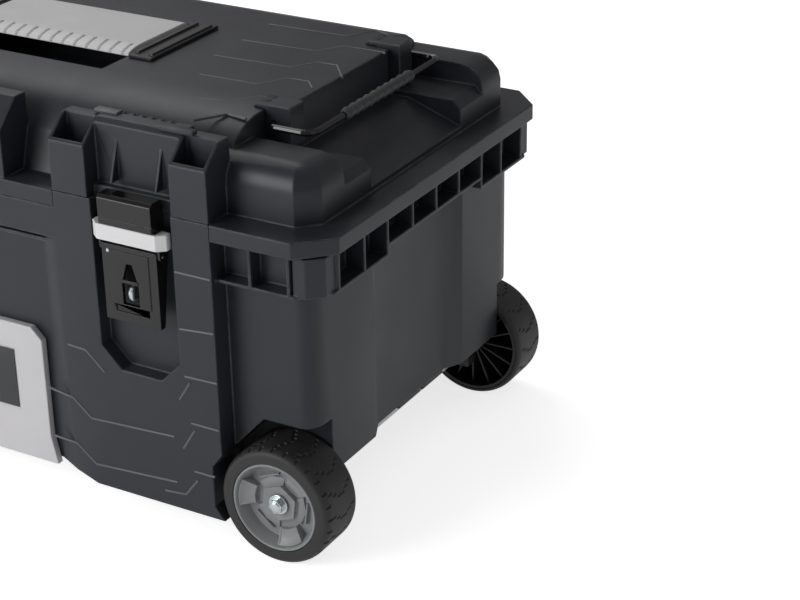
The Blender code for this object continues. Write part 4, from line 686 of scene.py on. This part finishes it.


# Raised lines moulded on the lid's plate and on the front pillars, on both halves, in a lighter charcoal that
# paints the highlight on their edges
# Their points are in millimetres: (x from the lid's end, y from the front) and (x, height)

frontFace = -0.2
plateLines = {
    "height": 0.066, "radius": 0.0014, "sink": 0.0009,
    "steps": [[(-151, 51), (-134, 76), (-114, 73)],
              [(-175, 95), (-150, 100), (-134, 122), (-110, 126)],
              [(-210, 145), (-151, 147), (-136, 172), (-116, 173), (-104, 160)],
              [(-227, 193), (-150, 197), (-136, 219), (-116, 220), (-96, 195)],
              [(-229, 240), (-154, 244), (-137, 268), (-96, 269)],
              [(-232, 290), (-150, 293), (-136, 320), (-105, 307)]],
}
pillarLines = {
    "radius": 0.0012, "sink": 0.0005,
    "steps": [[(103, 111), (128, 108), (147, 92), (236, 97)], [(103, 63), (128, 62), (148, 46), (236, 52)],
              [(128, 160), (147, 159), (166, 142)], [(251, 159), (284, 160)], [(256, 154), (244, 135)],
              [(255, 115), (283, 115)], [(258, 109), (245, 88)], [(255, 68), (276, 68)],
              [(258, 60), (244, 42), (222, 40)], [(248, 255), (283, 255)], [(249, 203), (283, 206)]],
}
plateBar = {"from": (-0.2360, 0.0290), "to": (-0.2120, 0.0375), "proud": 0.0022, "edge": 0.0007}
platePads = {"from": (-0.1640, 0.0190), "to": (-0.1300, 0.0270), "proud": 0.0030, "edge": 0.0008}
plateRoot = 0.001
bracketSlotShades = {"inset": 0.006, "gap": 0.004, "width": 0.0055, "length": 0.0085, "proud": 0.0002,
                "fromEnd": 0.0035, "edge": 0.0001}
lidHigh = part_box("lid_shell")[1]
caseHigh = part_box("case_shell")[1]
plateTop = lidHigh.z
rimTop = plateTop - plateLines["height"]
lines = []
for line in plateLines["steps"]:
    places = [(lidHigh.x + x / 1000, frontFace + y / 1000, plateTop - plateLines["sink"]) for x, y in line]
    lines += [places, [(-x, y, z) for x, y, z in places]]
placePiece("plateLines", wireShape(lines, plateLines["radius"]), "highlitCharcoal", "lid")


def plateBlocks(values):
    blocks = []
    for side in (1, -1):
        across = sorted(side * (lidHigh.x + values[end][0]) for end in ("from", "to"))
        blocks.append(blockOf((across[0], frontFace + values["from"][1], plateTop - plateRoot),
                              (across[1], frontFace + values["to"][1], plateTop + values["proud"]),
                              values["edge"]))
    return joinShapes(blocks)


placePiece("plateBars", plateBlocks(plateBar), "highlitCharcoal", "lid")
placePiece("platePads", plateBlocks(platePads), "charcoalMoulding", "lid")
# Black blocks laid on the bail brackets' tops: painted shade standing for the dark openings of the bracket
# slots
slots = []
for end in ("front", "rear"):
    low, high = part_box("bail_bracket_" + end)
    for index in range(2):
        start = low.y + bracketSlotShades["inset"] + index * (bracketSlotShades["width"] + bracketSlotShades["gap"])
        near = low.x + bracketSlotShades["fromEnd"]
        slots.append(blockOf((near, start, high.z - plateRoot),
                             (near + bracketSlotShades["length"], start + bracketSlotShades["width"],
                              high.z + bracketSlotShades["proud"]), bracketSlotShades["edge"]))
placePiece("bracketSlotShades", joinShapes(slots), "blackRubberAndShade", "lid")
lines = []
for line in pillarLines["steps"]:
    places = [(x / 1000, frontFace + pillarLines["sink"], z / 1000) for x, z in line]
    lines += [places, [(-x, y, z) for x, y, z in places]]
placePiece("pillarLines", wireShape(lines, pillarLines["radius"]), "highlitCharcoal", "case")
print("raised lines laid")


# Bridge across each lever's lock slot, a black block as painted shade in the finger slot below it, and the
# rivet

leverDetail = {"bridgeHalf": 0.0085, "bridgeTop": 0.0638, "bridgeHeight": 0.0030, "bridgeProud": 0.0007,
               "bridgeDeep": 0.0016, "slotHalf": 0.0167, "slotTop": 0.0889, "slotHeight": 0.0058,
               "slotDeep": 0.0010, "slotBack": 0.0020, "slotEdge": 0.0002, "faceInset": 0.0012,
               "rivetSide": 0.0215, "rivetDrop": 0.0405, "rivetRadius": 0.0017, "rivetRoot": 0.001,
               "rivetSteps": 20, "edge": 0.0004,
               "rivetHead": ((1.0, -0.0004), (0.7, -0.0009)), "rivetTip": (0.0001, -0.0011)}

for name in ("Left", "Right"):
    node = "lever_" + name.lower()
    low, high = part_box(node)
    middle = (low.x + high.x) / 2
    face = low.y
    bridgeTop = rimTop - leverDetail["bridgeTop"]
    bridge = blockOf((middle - leverDetail["bridgeHalf"], face - leverDetail["bridgeProud"],
                      bridgeTop - leverDetail["bridgeHeight"]),
                     (middle + leverDetail["bridgeHalf"], face + leverDetail["bridgeDeep"], bridgeTop),
                     leverDetail["edge"])
    placePiece("leverBridge" + name, bridge, "glossBlack", node)
    slotTop = rimTop - leverDetail["slotTop"]
    face += leverDetail["faceInset"]
    slot = blockOf((middle - leverDetail["slotHalf"], face + leverDetail["slotDeep"],
                    slotTop - leverDetail["slotHeight"]),
                   (middle + leverDetail["slotHalf"], face + leverDetail["slotBack"], slotTop),
                   leverDetail["slotEdge"])
    # The black block is painted shade for the shadow under the finger slot's lip
    placePiece("leverSlotShade" + name, slot, "blackRubberAndShade", node)
    radius = leverDetail["rivetRadius"]
    root = leverDetail["rivetRoot"]
    place = Vector((middle - leverDetail["rivetSide"], face, rimTop - leverDetail["rivetDrop"]))
    profile = [(leverDetail["rivetTip"][0], root), (radius, root)]
    profile += [(radius * share, depth) for share, depth in leverDetail["rivetHead"]]
    profile.append(leverDetail["rivetTip"])
    rivet = turnShape(profile, place, 1, leverDetail["rivetSteps"])
    placePiece("leverRivet" + name, rivet, "brightZinc", node)
print("levers detailed")


# Stepped feet of the floor's ribs, seen under the lip of the wheel end

lipSteps = {"foot": 0.0625, "top": 0.0856, "outer": 0.0338, "depth": 0.012, "edge": 0.0006,
            "spans": ((-0.066, -0.0160), (-0.0125, 0.0270), (0.0310, 0.0700)),
            "rises": (0.0035, 0.0005, 0.0)}
steps = []
outer = caseHigh.x - lipSteps["outer"]
for (start, end), rise in zip(lipSteps["spans"], lipSteps["rises"]):
    steps.append(blockOf((outer - lipSteps["depth"], start, lipSteps["foot"] + rise),
                         (outer, end, lipSteps["top"]), lipSteps["edge"]))
placePiece("lipSteps", joinShapes(steps), "darkPanel", "case")


# Dark panel in the label plate's window

labelPanel = {"half": 0.0605, "top": 0.1675, "bottom": 0.2255, "inset": 0.0003, "thickness": 0.0008,
              "edge": 0.0002}
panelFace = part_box("label_plate")[0].y + labelPanel["inset"]
placePiece("labelPanel",
           blockOf((-labelPanel["half"], panelFace, rimTop - labelPanel["bottom"]),
                   (labelPanel["half"], panelFace + labelPanel["thickness"], rimTop - labelPanel["top"]),
                   labelPanel["edge"]), "darkPanel", "case")
print("lip steps and window panel set")


# Bail grip with fine rings

bailGrip = {"rod": 0.0032, "rings": 10, "ringShare": 0.24, "ringProud": 0.0009, "endFall": 0.0012,
            "steps": 40, "ring": ((0.0, 0), (0.18, 0.8), (0.5, 1), (0.82, 0.8), (1.0, 0))}


def gripShape():
    low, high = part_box("bail_grip")
    centre = (low + high) / 2
    centre.y = low.y
    radius = (high.z - low.z) / 2
    length = high.y - low.y
    inner = radius - bailGrip["ringProud"]
    pitch = length / bailGrip["rings"]
    profile = [(bailGrip["rod"], 0.0), (inner - bailGrip["endFall"], 0.0), (inner, bailGrip["endFall"])]
    for index in range(bailGrip["rings"]):
        start = (index + 0.5 - bailGrip["ringShare"] / 2) * pitch
        for share, rise in bailGrip["ring"]:
            profile.append((inner + bailGrip["ringProud"] * rise,
                            start + share * bailGrip["ringShare"] * pitch))
    profile += [(inner, length - bailGrip["endFall"]), (inner - bailGrip["endFall"], length),
                (bailGrip["rod"], length)]
    return turnShape(profile, centre, 1, bailGrip["steps"])


placePiece("bailGrip", gripShape(), "softGrip", "bail", ["bail_grip"])
print("grip turned")


# Floor, lights and camera

# The floor glows more to the camera than on the toolbox, so it looks white and lights little from below

floorView = {"size": 12.0, "colour": (0.90, 0.90, 0.90), "rough": 0.9, "seen": 0.74, "cast": 0.34}
airLight = 0.26
lights = {
    "overheadSoftbox": {"place": (-1.3, 0.9, 2.1), "aim": (0.1, 0.0, 0.2), "size": 1.6, "power": 13},
    "frontSoftbox": {"place": (-1.4, -2.6, 1.3), "aim": (0.0, 0.0, 0.2), "size": 1.8, "power": 56},
    "endSoftbox": {"place": (2.8, 0.1, 1.2), "aim": (0.2, 0.0, 0.2), "size": 1.8, "power": 2},
}
cameraView = {"place": (1.17874, -1.43608, 0.96099), "right": (0.868206, 0.495991, -0.014535),
              "up": (-0.202678, 0.381211, 0.901998), "lens": 92.76, "sensor": 36.0}

floorBm = bmesh.new()
bmesh.ops.create_grid(floorBm, x_segments=1, y_segments=1, size=floorView["size"] / 2)
floorMesh = bpy.data.meshes.new("studioFloor")
floorBm.to_mesh(floorMesh)
floorBm.free()
studioFloor = bpy.data.objects.new("studioFloor", floorMesh)
bpy.context.scene.collection.objects.link(studioFloor)
paper = bpy.data.materials.new("palePaper")
paper.use_nodes = True
sheet = paper.node_tree.nodes["Principled BSDF"]
sheet.inputs["Base Color"].default_value = (*floorView["colour"], 1)
sheet.inputs["Roughness"].default_value = floorView["rough"]
sheet.inputs["Emission Color"].default_value = (1.0, 1.0, 1.0, 1)
ray = addNode(paper.node_tree, "ShaderNodeLightPath", -600, 0)
glow = addNode(paper.node_tree, "ShaderNodeMapRange", -300, 0)
glow.inputs["To Min"].default_value = floorView["cast"]
glow.inputs["To Max"].default_value = floorView["seen"]
paper.node_tree.links.new(ray.outputs["Is Camera Ray"], glow.inputs["Value"])
paper.node_tree.links.new(glow.outputs["Result"], sheet.inputs["Emission Strength"])
floorMesh.materials.append(paper)

world = bpy.data.worlds.new("studioAir")
world.use_nodes = True
air = world.node_tree.nodes["Background"]
air.inputs["Color"].default_value = (1.0, 1.0, 1.0, 1)
air.inputs["Strength"].default_value = airLight
bpy.context.scene.world = world
bpy.context.scene.view_settings.view_transform = "Standard"

for name, values in lights.items():
    lamp = bpy.data.lights.new(name, "AREA")
    lamp.shape = "SQUARE"
    lamp.size = values["size"]
    lamp.energy = values["power"]
    holder = bpy.data.objects.new(name, lamp)
    bpy.context.scene.collection.objects.link(holder)
    holder.location = values["place"]
    away = Vector(values["place"]) - Vector(values["aim"])
    holder.rotation_euler = away.to_track_quat("Z", "Y").to_euler()

camera = bpy.data.cameras.new("photoCamera")
camera.lens = cameraView["lens"]
camera.sensor_width = cameraView["sensor"]
photoCamera = bpy.data.objects.new("photoCamera", camera)
bpy.context.scene.collection.objects.link(photoCamera)
right = Vector(cameraView["right"]).normalized()
up = Vector(cameraView["up"]).normalized()
turn = Matrix((right, up, right.cross(up))).transposed().to_4x4()
photoCamera.matrix_world = Matrix.Translation(cameraView["place"]) @ turn
bpy.context.scene.camera = photoCamera

bpy.context.view_layer.update()
